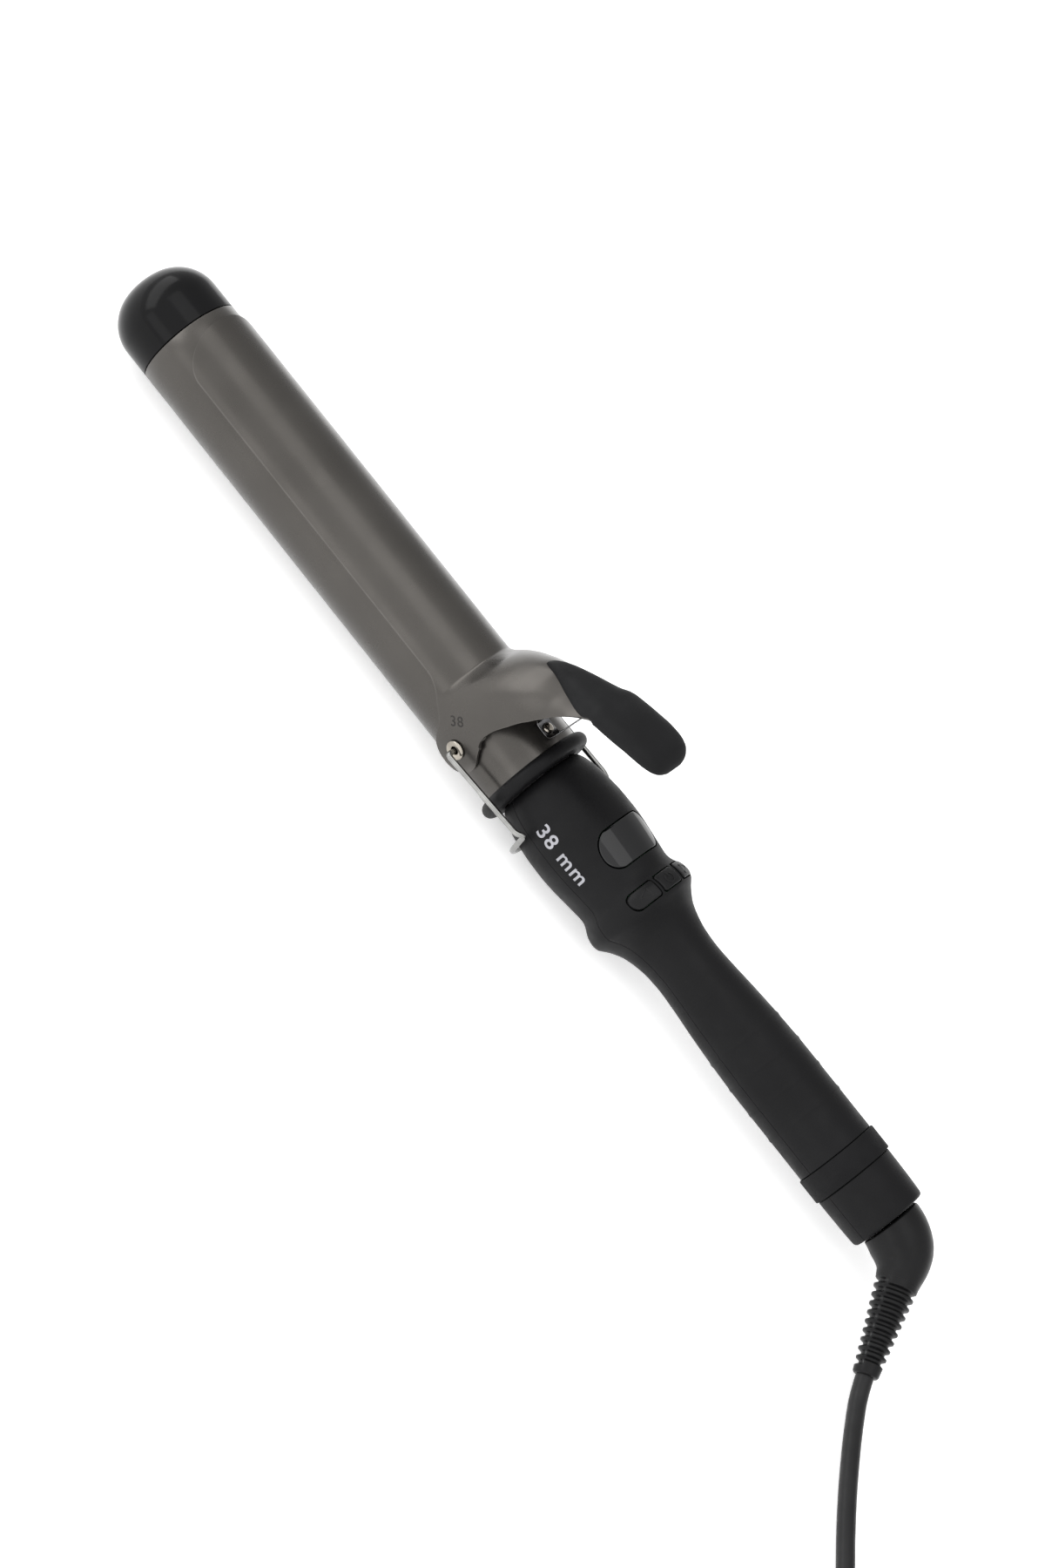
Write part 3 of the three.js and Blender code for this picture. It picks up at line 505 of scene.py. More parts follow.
def soften(piece, width, segments=2, angle=40):
    """Rounds the piece's crisp edges over a width in mm."""
    bevel = piece.modifiers.new("soften", "BEVEL")
    bevel.width, bevel.segments = width * MM, segments
    bevel.limit_method, bevel.angle_limit = "ANGLE", radians(angle)
    return shaped(piece)


stock = bpy.data.materials.new("stock")


def rod(axis, radius, low, high, place, segments=48, origin=iron_origin):
    """A round rod along x, y or z, used to cut a hole or as stock for a pin."""
    order = {"x": (2, 0, 1), "y": (0, 2, 1), "z": (0, 1, 2)}[axis]
    rows = []
    for end in (low, high):
        ring = [(place[0] + radius * cos(t), place[1] + radius * sin(t), end)
                for t in full_turn(segments)]
        rows.append([[point[k] for k in order] for point in ring])
    return build("rod", *skin(rows), stock, origin)


plug_brass = finish("nickel_plated_brass", (0.52, 0.49, 0.42), (0.66, 0.63, 0.56), 0.2, 0.34, 70,
                    (900, 0.02), stretch=(1, 0.05, 1), metallic=1.0)
for name, side in (("live", -1), ("neutral", 1)):
    x = plug_x + side * blade_spacing / 2
    start, end = plug_y + plug_length - 1.2, plug_y + plug_length + 0.3 + blade_length
    t, h = blade_thickness / 2, blade_height / 2
    outline = [(start, -h), (end - 2, -h), (end, -h + 1.4), (end, h - 1.4), (end - 2, h), (start, h)]
    rows = [[(x + a, y, plug_middle + z) for y, z in outline] for a in (-t, t)]
    blade = build(f"plug_pin_{name}", *skin(rows), plug_brass, (0, 0, 0))
    hole_place = (end - blade_hole_from_tip, plug_middle)
    work(blade, "DIFFERENCE", rod("x", blade_hole_radius, x - 3, x + 3, hole_place, 32, (0, 0, 0)))
    soften(blade, 0.2)
    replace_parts(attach(blade, "cord_end"), f"plug_blade_{name}")


# ---- Swivel elbow and strain relief: one soft black moulding each, in satin PVC ----
# The elbow turns through 60 degrees. The relief goes straight on from it, tapers to the cord and is
# slotted on two sides, with a smooth band left between.
elbow_start = 402.6
bend_radius = 18
bend_angle = radians(60)
bend_dip = radians(25)
elbow_length, relief_length = 21, 33
to_bend = np.array([0, -cos(bend_dip), -sin(bend_dip)])
aside = np.cross([1, 0, 0], to_bend)


def along_elbow(distance, turn, radius):
    """A point of the elbow, from its distance along the bent middle line, its turn and its radius."""
    bend_length = bend_radius * bend_angle
    angle = min(distance, bend_length) / bend_radius
    straight = max(0, distance - bend_length)
    forward = bend_radius * sin(angle) + straight * cos(angle)
    sideways = bend_radius * (1 - cos(angle)) + straight * sin(angle)
    towards, off = radius * cos(turn), radius * sin(turn)
    return (np.array([elbow_start + forward - towards * sin(angle), 0, 0])
            + to_bend * (sideways + towards * cos(angle)) + aside * off)


# (distance along the middle line, radius)
elbow_form = flow([(0, 10.1), (0.25, 10.6), (0.8, 10.9), (3.5, 10.92), (6.5, 10.85), (9.5, 10.65),
                   (12.2, 10.15), (14.8, 9.35), (17, 8.6), (18.85, 7.95), (21, 7.5)])
turns = full_turn(96)
elbow_rows = [[along_elbow(d, t, elbow_form(d)[0]) for t in turns]
              for d in [0, 0.12, 0.25, 0.5, 0.8, *np.linspace(1.4, elbow_length, 50)]]
satin_pvc = finish("satin_pvc", (0.0034, 0.0034, 0.0038), (0.006, 0.006, 0.0064), 0.32, 0.44, 70,
                   (1500, 0.03), wear=(0.2, (0.025, 0.025, 0.025)), specular_ior_level=0.16)
elbow = build("elbow_moulding", *skin(elbow_rows), satin_pvc)
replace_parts(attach(elbow, "cord_end"), "swivel_elbow")

relief_start_radius, relief_end_radius = 7.45, 4.4
slot_pitch, slot_width, slot_depth, slot_runout = 3.05, 1.55, 1.25, 0.3
# For each side: which way it faces, its turn, where its slots run out, the first one and their number.
slotted_sides = ((1, 0.35, 0.25, 1.9, 10), (-1, 0.9, 0.05, 3.4, 9))
relief_rows = []
for d in np.arange(0, relief_length + 0.01, 0.22):
    taper = relief_start_radius + (relief_end_radius - relief_start_radius) * d / relief_length
    rounding = 0.5 * max(0, 1 - (relief_length - d) / 0.8) ** 2
    row = []
    for t in turns:
        slots = [np.clip((facing * cos(t - turn) - end) / slot_runout, 0, 1)
                 * pulse(d, first, slot_pitch, count, slot_width)
                 for facing, turn, end, first, count in slotted_sides]
        row.append(along_elbow(elbow_length + d, t, taper - rounding - slot_depth * max(slots)))
    relief_rows.append(row)
relief = build("cord_relief", *skin(relief_rows), satin_pvc, sharp=60)
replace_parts(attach(relief, "cord_end"), "strain_relief")


# ---- Tip cap: gloss black heat-resistant plastic, moulded hollow and pushed into the barrel ----
# It stays cool enough to touch, so it is thick-walled and doesn't meet the heater.
cap_length, cap_end, cap_corner, cap_rim = 24.9, 30.5, 15, 0.35
barrel_radius, barrel_bore, barrel_end = 18.9, 17.7, 214


def arc(centre, radius, start, end, steps):
    """Points of an arc in a profile, from start to end degrees."""
    return [(centre[0] + radius * cos(a), centre[1] + radius * sin(a))
            for a in np.radians(np.linspace(start, end, steps))]


def turned(profile, segments=128, closed=True, axis="x", shift=(0, 0, 0)):
    """A turned piece from a profile of (place along the axis, radius)."""
    order = {"x": (0, 1, 2), "y": (1, 0, 2), "z": (1, 2, 0)}[axis]
    rows = []
    for a in full_turn(segments):
        ring = [(x, r * cos(a), r * sin(a)) for x, r in profile]
        rows.append([[point[k] + move for k, move in zip(order, shift)] for point in ring])
    return skin(rows, wrap_rows=True, wrap_columns=closed)


cap_profile = [(0, 0), (0, barrel_radius - cap_corner),
               *arc((cap_corner, barrel_radius - cap_corner), cap_corner, 180, 90, 28),
               *arc((cap_length - cap_rim, barrel_radius - cap_rim), cap_rim, 90, 0, 5),
               (cap_length, barrel_bore - 0.3), (cap_end, barrel_bore - 0.3), (cap_end, 15.4), (14, 15.4),
               (4.5, 10), (2.6, 3), (2.6, 0)]
gloss_black = finish("gloss_black", (0.002, 0.002, 0.0022), (0.003, 0.003, 0.0034), 0.13, 0.2, 45,
                     (1100, 0.012), specular_ior_level=0.13)
cap = build("tip_cap_moulding", *turned(cap_profile, closed=False), gloss_black)
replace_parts(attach(cap, "handle"), "tip_cap")


# ---- Barrel: drawn aluminium tube with a smooth gunmetal coating over its polished surface ----
# The coating is slightly cloudy where hair and hands have rubbed it, and bright on its rims.
pivot_x, pivot_hole, spring_foot_x = 192, 2.35, 205.5
rim = 0.25
barrel_profile = [(cap_length + 0.3, barrel_bore), (cap_length + 0.3, barrel_radius - rim),
                  (cap_length + 0.38, barrel_radius - 0.08), (cap_length + 0.3 + rim, barrel_radius),
                  *[(x, barrel_radius) for x in np.arange(32, 212, 6)],
                  (barrel_end - rim, barrel_radius), (barrel_end, barrel_radius - rim),
                  (barrel_end, barrel_bore)]
gunmetal = finish("gunmetal_coating", (0.056, 0.052, 0.0475), (0.072, 0.067, 0.0615), 0.24, 0.34, 26,
                  (2600, 0.006), wear=(0.5, (0.22, 0.21, 0.2)), metallic=0.85, coat_weight=0.1,
                  coat_roughness=0.25)
barrel = build("barrel_sleeve", *turned(barrel_profile, 160), gunmetal)
work(barrel, "DIFFERENCE", rod("y", pivot_hole, -25, 25, (pivot_x, 0)),
     rod("z", 1.15, 10, 25, (spring_foot_x, 0), 24))
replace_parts(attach(barrel, "handle"), "barrel_tube")


# ---- Clamp: one stamping of 0.85 mm sheet, curved to the barrel, coated like it ----
# Its ears go down to the rivets and its middle is bent up at a crisp line into the thumb lever.
sheet = 0.85
clamp_start, clamp_round = 29.3, 14
clamp_half_angle = radians(61)
ear_radius, ear_flatness = 8.8, 40
tongue_half_width = 6.4
# (place along the iron, height of the top, height of the section's centre, half width)
clamp_form = flow([
    (clamp_start, 20, 0, 20), (174.6, 20, 0, 20), (175.2, 20.25, 0, 20), (176.5, 21.7, 0, 20),
    (178, 24, 0, 20), (180, 27.8, 0, 20.1), (183, 32, 0, 20.3), (186, 35.3, 0, 20.5), (190, 39, 0, 20.5),
    (195, 42.4, 0, 20.5), (201, 44.8, 0, 20.3), (203, 45.5, 11, 18.4), (205, 46.1, 22.5, 16),
    (208.6, 47.3, 33.1, 13.5), (211.5, 48.2, 40.6, 12), (214.5, 48.9, 48.2, 11),
    (233, 52.4, 51.7, 11)])


def clamp_point(x, turn):
    """A point of the clamp's outer face, at a turn from the top down its side."""
    top, centre, half = clamp_form(x)
    if abs(turn) <= pi / 2:
        return x, half * sin(turn), centre + (top - centre) * cos(turn)
    drop = (abs(turn) - pi / 2) * half
    return x, copysign(half - drop ** 2 / (2 * ear_flatness), turn), centre - drop


def turn_at_height(x, z):
    top, centre, half = clamp_form(x)
    return acos((z - centre) / (top - centre)) if z >= centre else pi / 2 + (centre - z) / half


def clamp_top(x, y):
    """Height of the lever's outer face."""
    top, centre, half = clamp_form(x)
    return centre + (top - centre) * sqrt(1 - (y / half) ** 2)


# Each row has its place on the centre line, its edge's place, and the edge's turn from the top. The
# flare, ear and skirt give their edge's height in place of its turn.
clamp_rows = []
for angle in np.radians(np.linspace(3, 90, 12)):
    x = clamp_start + clamp_round * (1 - cos(angle))
    clamp_rows.append((x, x, clamp_half_angle * sin(angle)))
clamp_rows += [(x, x, clamp_half_angle) for x in (60, 85, 106, 127, 147, 166)]
flare = [(170, 170.5, 8.9), (174.6, 175, 6.6), (175.6, 176.4, 5.6), (177.5, 178.5, 4.2),
         (179.5, 180.6, 2.4), (181.5, 182.3, 0.2)]
ear = [(183 + i, pivot_x + ear_radius * cos(a), ear_radius * sin(a))
       for i, a in enumerate(np.radians(np.linspace(200, 400, 12)))]
skirt = [(194.5, 197.2, 8.8), (194.95, 196, 11.4), (195.4, 195.6, 13.6), (196.4, 196.1, 17.2),
         (198.3, 198.2, 23), (201.8, 201.6, 30.2), (205, 205, 36.6), (208.6, 208.6, 41.6),
         (211.5, 211.5, 45), (214.5, 214.5, 48.5)]
clamp_rows += [(x, edge, turn_at_height(edge, z)) for x, edge, z in flare + ear + skirt]
tongue = [(215.6, tongue_half_width), (222, tongue_half_width), (229, tongue_half_width), (231.5, 5),
          (232.6, 2.6)]
clamp_rows += [(x, x, asin(y / clamp_form(x)[2])) for x, y in tongue]
clamp_row = flow([(i, *row) for i, row in enumerate(clamp_rows)])
clamp_columns = np.linspace(-1, 1, 73)
late_fan = 12

outer = []
for i in np.linspace(0, len(clamp_rows) - 1, 3 * len(clamp_rows) - 2):
    x, edge, turn = clamp_row(i)
    outer.append([clamp_point(x + (edge - x) * abs(u) ** late_fan, turn * u) for u in clamp_columns])
outer = np.array(outer)
slope_along, slope_across = np.gradient(outer, axis=0), np.gradient(outer, axis=1)
inward = np.cross(slope_along, slope_across)
inward /= np.linalg.norm(inward, axis=2)[:, :, None]
inner = outer - inward * sheet
clamp_loops = np.concatenate([outer, inner[:, ::-1]], axis=1)
clamp = build("clamp_sheet", *skin(clamp_loops), gunmetal, sharp=50)
rest_screw_xs = (220.5, 228)
work(clamp, "DIFFERENCE", rod("y", pivot_hole, -25, 25, (pivot_x, 0)),
     *[rod("z", 1.5, 40, 60, (x, 0), 24) for x in rest_screw_xs])
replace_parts(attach(clamp, "clamp"), "clamp_shell")


# ---- Thumb rest: soft-touch black moulding over the lever's tongue, held by two screws below ----
# It starts in a point on the sheet, swells to a rounded pad and ends in a blunt, rounded tip.
metal_edge, side_run = 216, 14
widest = 10.9
# (place along the iron, half width, height of the top, height of the bottom where it is past the metal)
rest_form = flow([
    (190.0, 0.6, 40.1, 0), (191.4, 1.7, 42.1, 0), (195, 3.5, 44.9, 0), (201, 5.9, 47.9, 0),
    (205, 7.3, 49.6, 0), (208.6, 8.5, 51, 0), (211.5, 9.4, 52.1, 0), (215.7, 10.7, 53.5, 0),
    (216.3, 10.9, 53.7, 46.8),
    (220, 10.9, 55, 47.4), (225, 10.9, 56.4, 48.5), (230.5, 10.9, 57.4, 50), (236, 10.6, 57.9, 51.4),
    (239.5, 9.7, 57.5, 52.2), (241.7, 8.1, 56.6, 52.6), (243, 6.2, 55.7, 53), (243.8, 3.6, 54.8, 53.5)])
rest_rows = []
for x in [*np.linspace(190.0, 215.7, 44), *np.linspace(216.3, 239, 34), *np.linspace(239.4, 243.8, 14)]:
    half_width, top, bottom = rest_form(x)
    upper, lower = [], []
    for turn in np.linspace(0, pi, 41):
        side = -cos(turn)
        y = half_width * copysign(abs(side) ** 0.8, side)
        crown = max(0.02, (1 - abs(side) ** 2.4) ** 0.42)
        side_height = clamp_top(x, min(half_width, widest)) + 0.45
        clear_of_metal = min(1, max(0, (x - metal_edge) / side_run))
        side_height += ((top + bottom) / 2 - side_height) * clear_of_metal
        upper.append((x, y, side_height + (top - side_height) * crown))
        lower.append((x, y, clamp_top(x, y) + 0.12 if x < metal_edge
                      else side_height - (side_height - bottom) * crown))
    rest_rows.append(upper + lower[::-1])
soft_touch = finish("soft_touch_black", (0.0042, 0.0043, 0.0047), (0.0062, 0.0064, 0.007), 0.5, 0.64, 55,
                    (3200, 0.03), wear=(0.12, (0.022, 0.022, 0.024)), specular_ior_level=0.14)
rest = build("thumb_rest_pad", *skin(rest_rows), soft_touch)
pocket_half_width = tongue_half_width + 0.3
pocket = [[(x, side * pocket_half_width, clamp_top(x, 0) + lift)
           for side, lift in ((-1, 0.3), (1, 0.3), (1, -1.3), (-1, -1.3))] for x in (214, 222, 233.2)]
work(rest, "DIFFERENCE", build("pocket", *skin(pocket), stock),
     *[rod("z", 2.6, 40, clamp_top(x, 0) - sheet - 0.1, (x, 0), 32) for x in rest_screw_xs],
     *[rod("z", 1.2, 45, clamp_top(x, 0) + 3, (x, 0), 24) for x in rest_screw_xs])
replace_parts(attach(rest, "clamp"), "thumb_rest")

screw_steel = finish("screw_steel", (0.42, 0.42, 0.41), (0.6, 0.6, 0.58), 0.22, 0.38, 300, (1800, 0.02),
                     wear=(0.4, (0.7, 0.7, 0.68)), metallic=1.0)


def screw(name, x, head_z, head_height, head_radius, shank_radius, length):
    """A pan-head screw pointing up, with a cross recess in its head and threads on its shank."""
    threads = []
    for i, z in enumerate(np.arange(head_height + 0.4, length - 0.6, 0.3)):
        threads.append((z, shank_radius * (1.0 if i % 2 else 0.82)))
    profile = [(0, 0), (0, head_radius * 0.55), (0.12 * head_height, head_radius * 0.8),
               (0.4 * head_height, head_radius * 0.97), (0.7 * head_height, head_radius),
               (head_height, head_radius), (head_height, shank_radius * 0.82), *threads,
               (length, shank_radius * 0.4), (length, 0)]
    raised = [(head_z + z, r) for z, r in profile]
    piece = build(name, *turned(raised, 40, False, "z", (x, 0, 0)), screw_steel)
    reach, slot = head_radius * 0.6, head_radius * 0.1
    recesses = []
    for w, d in ((reach, slot), (slot, reach)):
        rows = [[(x + a, b, z) for a, b in ((-w, -d), (w, -d), (w, d), (-w, d))]
                for z in (head_z - 1, head_z + 0.6 * head_height)]
        recesses.append(build("recess", *skin(rows), stock))
    return work(piece, "DIFFERENCE", *recesses)


for i, x in enumerate(rest_screw_xs, 1):
    fixing = screw(f"rest_fixing_{i}", x, clamp_top(x, 0) - sheet - 1.5, 0.9, 2.2, 0.9, 4.6)
    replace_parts(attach(fixing, "clamp"), f"thumb_rest_screw_{i}")


# ---- Pivot eyelets: hollow nickel rivets rolled over at the outside, one through each ear ----
# The clamp turns on them, and the ends of the stand's wire hook into their bores.
nickel = finish("worn_nickel", (0.24, 0.22, 0.19), (0.37, 0.34, 0.295), 0.16, 0.32, 220, (1500, 0.03),
                wear=(0.5, (0.66, 0.62, 0.56)), metallic=1.0)
rolled_rim = [(20.95 + 0.78 * sin(a), 2.42 + 1.08 * cos(a))
              for a in np.linspace(0.05, pi * 0.96, 12)]
eyelet = [(16.6, 1.3), (16.6, 2.8), (16.8, 3), (17.0, 3), (17.1, 2.9), (17.1, 2.05), (20.8, 2.05),
          (20.8, 3.2), (20.88, 3.4), *rolled_rim]
for name, side in (("left", -1), ("right", 1)):
    outward = [(side * y, r) for y, r in eyelet]
    piece = build(f"pivot_eyelet_{name}", *turned(outward, 64, True, "y", (pivot_x, 0, 0)), nickel)
    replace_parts(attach(piece, "handle"), f"pivot_rivet_{name}")


# ---- Stand: 2 mm spring-steel wire, bent to one loop and sprung into the eyelets ----
# Its legs pass outside the collar, kink inwards and join the bail that goes round below the handle.
wire_radius, wire_corner = 1, 1.5
bail_radius, bail_x, leg_y = 21.6, 229, 24.6


def bent(points, corner, steps=7):
    """Straight runs between the points, with each corner rounded over the given distance."""
    p = np.array(points, float)
    line = [p[0]]
    for before, point, after in zip(p, p[1:], p[2:]):
        run_in, run_out = np.linalg.norm(before - point), np.linalg.norm(after - point)
        cut = min(corner, 0.45 * run_in, 0.45 * run_out)
        enter = point + (before - point) / run_in * cut
        leave = point + (after - point) / run_out * cut
        line += [(1 - t) ** 2 * enter + 2 * t * (1 - t) * point + t * t * leave
                 for t in np.linspace(0, 1, steps)]
    return [*line, p[-1]]


bail = [(bail_x, bail_radius * cos(a), bail_radius * sin(a))
        for a in np.linspace(pi, 2 * pi, 31)][1:-1]
near_leg = [(pivot_x, -19.4, 0), (pivot_x, -leg_y, 0), (bail_x - 2.6, -leg_y + 0.4, 1.6),
            (bail_x, -bail_radius - 1, 2.4)]
far_leg = [(x, -y, z) for x, y, z in near_leg[::-1]]
bright_wire = finish("bright_wire", (0.2, 0.2, 0.195), (0.32, 0.32, 0.31), 0.12, 0.24, 160, (700, 0.02),
                     stretch=(0.15, 2, 2), metallic=1.0)
stand_line = bent([*near_leg, *bail, *far_leg], wire_corner)
stand = wire_piece("stand_loop", stand_line, wire_radius, bright_wire, iron_origin)
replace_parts(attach(stand, "stand"), "stand_wire")


# ---- Leaf spring: a strip of blued spring steel riveted to the barrel and bearing under the lever ----
# Its foot ends in a curled lip. It is built in one fixed shape.
spring_thickness, spring_width = 0.5, 6
spring_path = [(201.9, 20.9), (202.2, 20.1), (202.9, 19.6), (203.8, 19.45), (206, 19.4), (207.6, 19.5),
               (208.6, 20.1), (209.1, 21.4), (209.5, 23.5), (210.4, 31), (211.5, 39), (212.5, 44.4),
               (213.4, 46.5), (214.4, 46.9), (215.6, 46)]
spring_rows = [[(x, u, z) for x, z, u in row]
               for row in strip(through_flat(spring_path, 5), spring_thickness, spring_width, 0.12)]
spring_steel = finish("spring_steel", (0.075, 0.076, 0.082), (0.14, 0.14, 0.15), 0.2, 0.34, 240,
                      (1200, 0.02), stretch=(1, 0.08, 1), wear=(0.6, (0.5, 0.49, 0.46)), metallic=1.0)
spring = build("clamp_leaf_spring", *skin(spring_rows), spring_steel)
work(spring, "DIFFERENCE", rod("z", 1.15, 15, 22, (spring_foot_x, 0), 24))
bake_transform(spring)
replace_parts(spring, "leaf_spring")

spring_stud = [(barrel_bore + 0.05, 0), (barrel_bore + 0.05, 0.85), (19.75, 0.85), (19.75, 1.85),
               (19.9, 1.95), (20.1, 1.9), (20.4, 1.6), (20.6, 1.1), (20.7, 0.5), (20.7, 0)]
stud = build("spring_stud", *turned(spring_stud, 40, False, "z", (spring_foot_x, 0, 0)), nickel)
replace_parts(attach(stud, "handle"), "spring_rivet")


# ---- Collar: a rounded ring of matte black plastic that hides the joint of barrel and handle ----
# It is pushed over the barrel's end before the handle is closed round it.
collar_x, collar_tube = 213.7, 2.6
collar_profile = [*[(collar_x - collar_tube * cos(a), 19.2 + (collar_tube - 0.15) * sin(a))
                    for a in np.linspace(0, pi, 26)],
                  (collar_x + collar_tube, 14.6), (barrel_end + 0.3, 14.6), (barrel_end + 0.3, 19.2)]
matte_black = finish("matte_black", (0.0034, 0.0034, 0.0038), (0.0052, 0.0052, 0.0057), 0.44, 0.58, 40,
                     (2600, 0.035), wear=(0.12, (0.02, 0.02, 0.0215)), specular_ior_level=0.13)
collar = build("collar_band", *turned(collar_profile), matte_black)
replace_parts(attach(collar, "handle"), "collar_ring")


# ---- Handle: two matte black shells of glass-filled nylon, split level with the barrel's axis ----
# Two screws from below pull the rear shell to the front one's bosses. Four faint ridges ring the
# grip, and openings in the front shell take the display and the three buttons.
seam, seam_chamfer, seam_chamfer_rise = 0.04, 0.1, 0.12
handle_end, handle_wall = 401.9, 2.2
grip_start, grip_bore = 290, 12.2
groove_start, groove_end, groove_radius = 374, 383.2, 13.9
screw_xs = (288, 352)
ridge_xs, ridge_height = (326, 336.5, 347, 357.5), 0.22
handle_form = flow([
    (216.6, 14.7), (217, 15.4), (219, 16.6), (222, 17.6), (226, 18.5), (230, 19), (236, 19.5),
    (242, 19.6), (247, 19.4), (252, 18.9), (257, 18.35), (262, 17.9), (264.2, 18.4), (266, 19.3),
    (268.3, 20.1),
    (270.5, 20.35), (272.5, 20), (275, 18), (277.3, 16.4), (280, 14.9), (285, 13.35), (290, 12.5),
    (296, 12.2), (303, 12.5), (315, 13.4), (330, 14.2), (342, 14.5), (384, 14.5), (392, 14.4),
    (400.6, 14.1), (401.5, 13.8), (401.9, 13.3)])


def handle_radius(x):
    ridges = sum(exp(-((x - ridge) / 0.7) ** 2) for ridge in ridge_xs)
    return float(handle_form(x)[0]) + ridge_height * ridges


def bore_radius(x):
    """The inside keeps the wall's thickness, and in the grip it is no wider than the bore."""
    by_wall = handle_radius(x) - handle_wall
    return by_wall if x < grip_start else min(by_wall, grip_bore)


grip_xs = np.unique(np.round([*np.arange(216.6, 218, 0.35), *np.arange(218, 322, 1.0),
                              *np.arange(322, 362, 0.5), *np.arange(362, 374, 1.5), 373.7], 3))
tail_xs = [*np.arange(383.6, 400, 1.4), 400.6, 401.1, 401.5, 401.75, handle_end]
handle_outside = [*[(x, handle_radius(x)) for x in grip_xs], (groove_start, handle_radius(374) - 0.3),
                  (groove_start, groove_radius), (groove_end, groove_radius),
                  (groove_end, handle_radius(383) - 0.3), *[(x, handle_radius(x)) for x in tail_xs]]
bore_xs = [380, 342, 315, 296, 285, 277.3, 272.5, 270.5, 266, 262, 252, 242, 232, 226]
handle_inside = [(handle_end, 7.1), (399.4, 7.1), (399.4, 11.9), (385.9, 11.9), (385.9, 9.5),
                 (384.2, 9.5), (384.2, 12), *[(x, bore_radius(x)) for x in bore_xs], (220.7, 15.3),
                 (220.7, 13.4), (216.6, 13.4)]


def half_shell(facing):
    """Half of the handle on one side of the seam, with a small chamfer along its outer edges."""
    def row(height, part, chamfer=0):
        """Points round the wall, a part of the way over from one edge to the other."""
        points = []
        for i, (x, r) in enumerate([*handle_outside, *handle_inside]):
            edge = asin(height / r)
            angle = edge + part * (pi - 2 * edge)
            radius = r - chamfer * (i < len(handle_outside))
            points.append((x, -radius * cos(angle), facing * radius * sin(angle)))
        return points

    rise = seam + seam_chamfer_rise
    first_half = 0.5 * np.linspace(0.035, 1, 34)
    return skin([row(seam, 0, seam_chamfer), row(rise, 0), *[row(seam, part) for part in first_half],
                 *[row(seam, 1 - part) for part in first_half[-2::-1]], row(rise, 1),
                 row(seam, 1, seam_chamfer)])


window_x, window_y, window_end = (243.6, 258), (-12.6, 12.6), (6.6, 5)
button_x, button_end, button_corner = (265.4, 272.5), (3.1, 2.6), (0.9, 0.9)
# Each button's name, its span across the handle, the ends of its opening and its stem's place.
button_plan = (("down", (-15.4, -5.5), button_end, button_corner, -9.4),
               ("power", (-4.7, 4.7), button_corner, button_corner, 0),
               ("up", (5.5, 15.4), button_corner, button_end, 9.4))


def edge_inset(from_middle, half, corner):
    """How far a rounded end draws in at a place across the opening; corner is (across, along) radii."""
    into = max(0, abs(from_middle) - (half - corner[0])) / corner[0]
    return corner[1] * (1 - sqrt(max(0, 1 - min(into, 1) ** 2)))


def opening(xs, ys, low_corner, high_corner):
    """Stock of the shape of an opening, standing through the front shell."""
    middle, half = (xs[0] + xs[1]) / 2, (xs[1] - xs[0]) / 2
    places = half * np.sin(np.linspace(-pi / 2, pi / 2, 33))
    outline = [(middle + d, ys[0] + edge_inset(d, half, low_corner)) for d in places]
    outline += [(middle + d, ys[1] - edge_inset(d, half, high_corner)) for d in places[::-1]]
    return build("opening", *skin([[(x, y, z) for x, y in outline] for z in (8, 30)]), stock)


front = build("front_shell", *half_shell(1), matte_black)
bosses = [rod("z", 3, 0.15, handle_radius(x) - 1, (x, 0), 32) for x in screw_xs]
work(front, "UNION", *bosses)
work(front, "DIFFERENCE", opening(window_x, window_y, window_end, window_end),
     *[opening(button_x, ys, low, high) for _, ys, low, high, _ in button_plan],
     *[rod("z", 1.5, 0, 7, (x, 0), 24) for x in screw_xs])
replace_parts(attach(front, "handle"), "handle_front_shell")

rear = build("rear_shell", *half_shell(-1), matte_black)
work(rear, "UNION", *[rod("z", 4, 1 - handle_radius(x), -0.15, (x, 0), 32) for x in screw_xs])
work(rear, "DIFFERENCE", *[rod("z", 3, -30, -6, (x, 0), 32) for x in screw_xs],
     *[rod("z", 1.6, -30, 0.5, (x, 0), 24) for x in screw_xs])
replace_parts(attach(rear, "handle"), "handle_rear_shell")

for i, x in enumerate(screw_xs, 1):
    fixing = screw(f"shell_fixing_{i}", x, -8.4, 2, 2.7, 1.2, 14)
    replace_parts(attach(fixing, "handle"), f"handle_screw_{i}")


# ---- Grip band: a flat rubber ring stretched into the groove near the cord end ----
# It crosses the seam and keeps the shells together near the swivel.
band = [(374.08, 14.0), (374.08, 14.95), (374.2, 15.15), (374.45, 15.25), (382.75, 15.25), (383, 15.15),
        (383.12, 14.95), (383.12, 14.0)]
band_rubber = finish("band_rubber", (0.0042, 0.0042, 0.0046), (0.0062, 0.0062, 0.0067), 0.58, 0.72, 60,
                     (2400, 0.05), wear=(0.15, (0.022, 0.022, 0.024)), specular_ior_level=0.12)
grip = build("grip_ring", *turned(band, 128), band_rubber)
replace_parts(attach(grip, "handle"), "grip_band")


